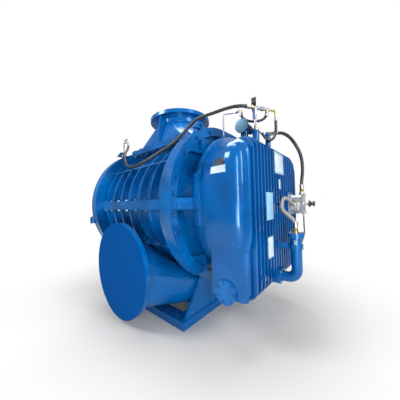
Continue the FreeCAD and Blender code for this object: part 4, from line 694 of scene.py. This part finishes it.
def round_bead(name, centre, way, radius, thickness):
    """Uneven weld bead round a pipe or collar."""
    bpy.ops.mesh.primitive_torus_add(major_radius=radius, minor_radius=thickness, major_segments=220,
                                     minor_segments=8)
    bead = named(name, "sheet_blue")
    bpy.ops.object.mode_set(mode="EDIT")
    bpy.ops.mesh.select_all(action="SELECT")
    bpy.ops.transform.vertex_random(offset=thickness * 0.22, seed=3)
    close_up()
    up = (0, 0, 1) if abs(Vector(way).normalized().z) < 0.9 else (0, 1, 0)
    settle(bead, facing(centre, way, up))
    return joined(name, [bead])


def straight_bead(start, end, thickness):
    """Uneven weld bead along a straight joint, pushed out ring by ring."""
    start, end = Vector(start), Vector(end)
    way = end - start
    steps = max(int(way.length / (thickness * 2.2)), 4)
    bpy.ops.mesh.primitive_cylinder_add(vertices=8, radius=thickness, depth=way.length / steps,
                                        location=(0, 0, way.length / steps / 2))
    bead = named("bead", "sheet_blue")
    settle(bead)
    pick(bead, "FACE", lambda face: face.normal.z > 0.9)
    for step in range(steps - 1):
        push(0, 0, way.length / steps)
        share = 0.82 if step % 2 else 1 / 0.82
        bpy.ops.transform.resize(value=(share, share, 1))
    close_up()
    up = (0, 0, 1) if abs(way.normalized().z) < 0.9 else (0, 1, 0)
    settle(bead, facing(start, way, up))
    return bead


def folded_seam(name, start, end, width, target, out):
    """Raised welded seam that follows a sheet wall between two points."""
    start, end = Vector(start), Vector(end)
    way = end - start
    bpy.ops.mesh.primitive_grid_add(x_subdivisions=48, y_subdivisions=4, size=1)
    seam = named(name, "sheet_blue")
    seam.scale = (way.length, width, 1)
    settle(seam)
    x = way.normalized()
    y = Vector(out).cross(x).normalized()
    z = x.cross(y)
    clear = (start + end) / 2 + z * 0.06
    settle(seam, Matrix.Translation(clear) @ Matrix((x, y, z)).transposed().to_4x4())
    wrap = seam.modifiers.new("lay", "SHRINKWRAP")
    wrap.target = NODES[target]
    wrap.wrap_method = "PROJECT"
    wrap.use_positive_direction = False
    wrap.use_negative_direction = True
    wrap.wrap_mode = "ABOVE_SURFACE"
    wrap.offset = 0.0035
    thick = seam.modifiers.new("thick", "SOLIDIFY")
    thick.thickness = 0.006
    round_off = seam.modifiers.new("round", "BEVEL")
    round_off.width = 0.0014
    round_off.segments = 2
    only(seam)
    for modifier in ("lay", "thick", "round"):
        bpy.ops.object.modifier_apply(modifier=modifier)
    return seam


GAUGE = Vector((0.964, -0.177, 1.665))
FIN_TIP = 1.048
riveted_plate("rating_plate", (FIN_TIP, 0.0175, 1.227), 0.203, 0.162, "plate_silver", "plate_white", 0.016)
riveted_plate("oil_plate", (FIN_TIP, -0.199, 0.9105), 0.118, 0.185, "plate_silver", "plate_pale_blue", 0.009)
riveted_plate("square_plate", (FIN_TIP, -0.206, 0.636), 0.098, 0.142, "plate_silver", "plate_white", 0.008)
riveted_plate("turning_sense_plate", (FIN_TIP, 0.014, 1.071), 0.034, 0.074, "plate_white", "plate_white",
              0.004)
film("side_plate_black", (0.869, -0.523, 1.192), (0, -1, 0), 0.074, 0.044, "gear_case", "plate_black")
film("side_plate_white", (0.857, -0.525, 1.147), (0, -1, 0), 0.116, 0.046, "gear_case", "plate_white",
     "plate_silver")
film("vessel_label", (1.172, -0.09, 0.655), (0.2, -1, 0), 0.02, 0.036, "filter_vessel", "plate_silver")
gauge_face()
sleeves = []
WIDE_FERRULE = 0.0155
SLIM_FERRULE = 0.0125
for route, radius in ((SUCTION, WIDE_FERRULE), (PRESSURE, WIDE_FERRULE), (DRIVE, WIDE_FERRULE),
                      (BYPASS, SLIM_FERRULE), (CROSS, SLIM_FERRULE)):
    for tip, inner in ((route[0], route[1]), (route[-1], route[-2])):
        sleeves.append(ferrule("hose_ferrule", tip, inner, radius, "zinc_steel"))
joined("hose_ferrules", sleeves)
round_bead("discharge_flange_bead", (0.013, -0.7035, 0.423), (0, 1, 0), 0.3145, 0.005)
round_bead("inlet_flange_bead", (0, 0, 1.8225), (0, 0, 1), 0.2665, 0.005)
round_bead("inlet_neck_bead", (0, 0, 1.7605), (0, 0, 1), 0.2665, 0.004)
joined("discharge_seams", [
    folded_seam("seam", (0.013 + side * 0.313, -0.694, 0.43), (side * 0.425, -0.262, 0.296), 0.016,
                "discharge_nozzle", (side * 0.9, -0.2, 0.4)) for side in (-1, 1)])
beads = []
for x in (-0.484, 0.484):
    for side in (-1, 1):
        beads.append(straight_bead((x, side * 0.242, 0.0635), (x, side * 0.475, 0.0635), 0.004))
for side in (-1, 1):
    beads.append(straight_bead((-0.46, side * 0.241, 0.0635), (0.46, side * 0.241, 0.0635), 0.004))
    beads.append(straight_bead((side * 0.485, -0.235, 0.0635), (side * 0.485, 0.235, 0.0635), 0.004))
joined("pedestal_beads", beads)

soft_daylight()
pale_floor()
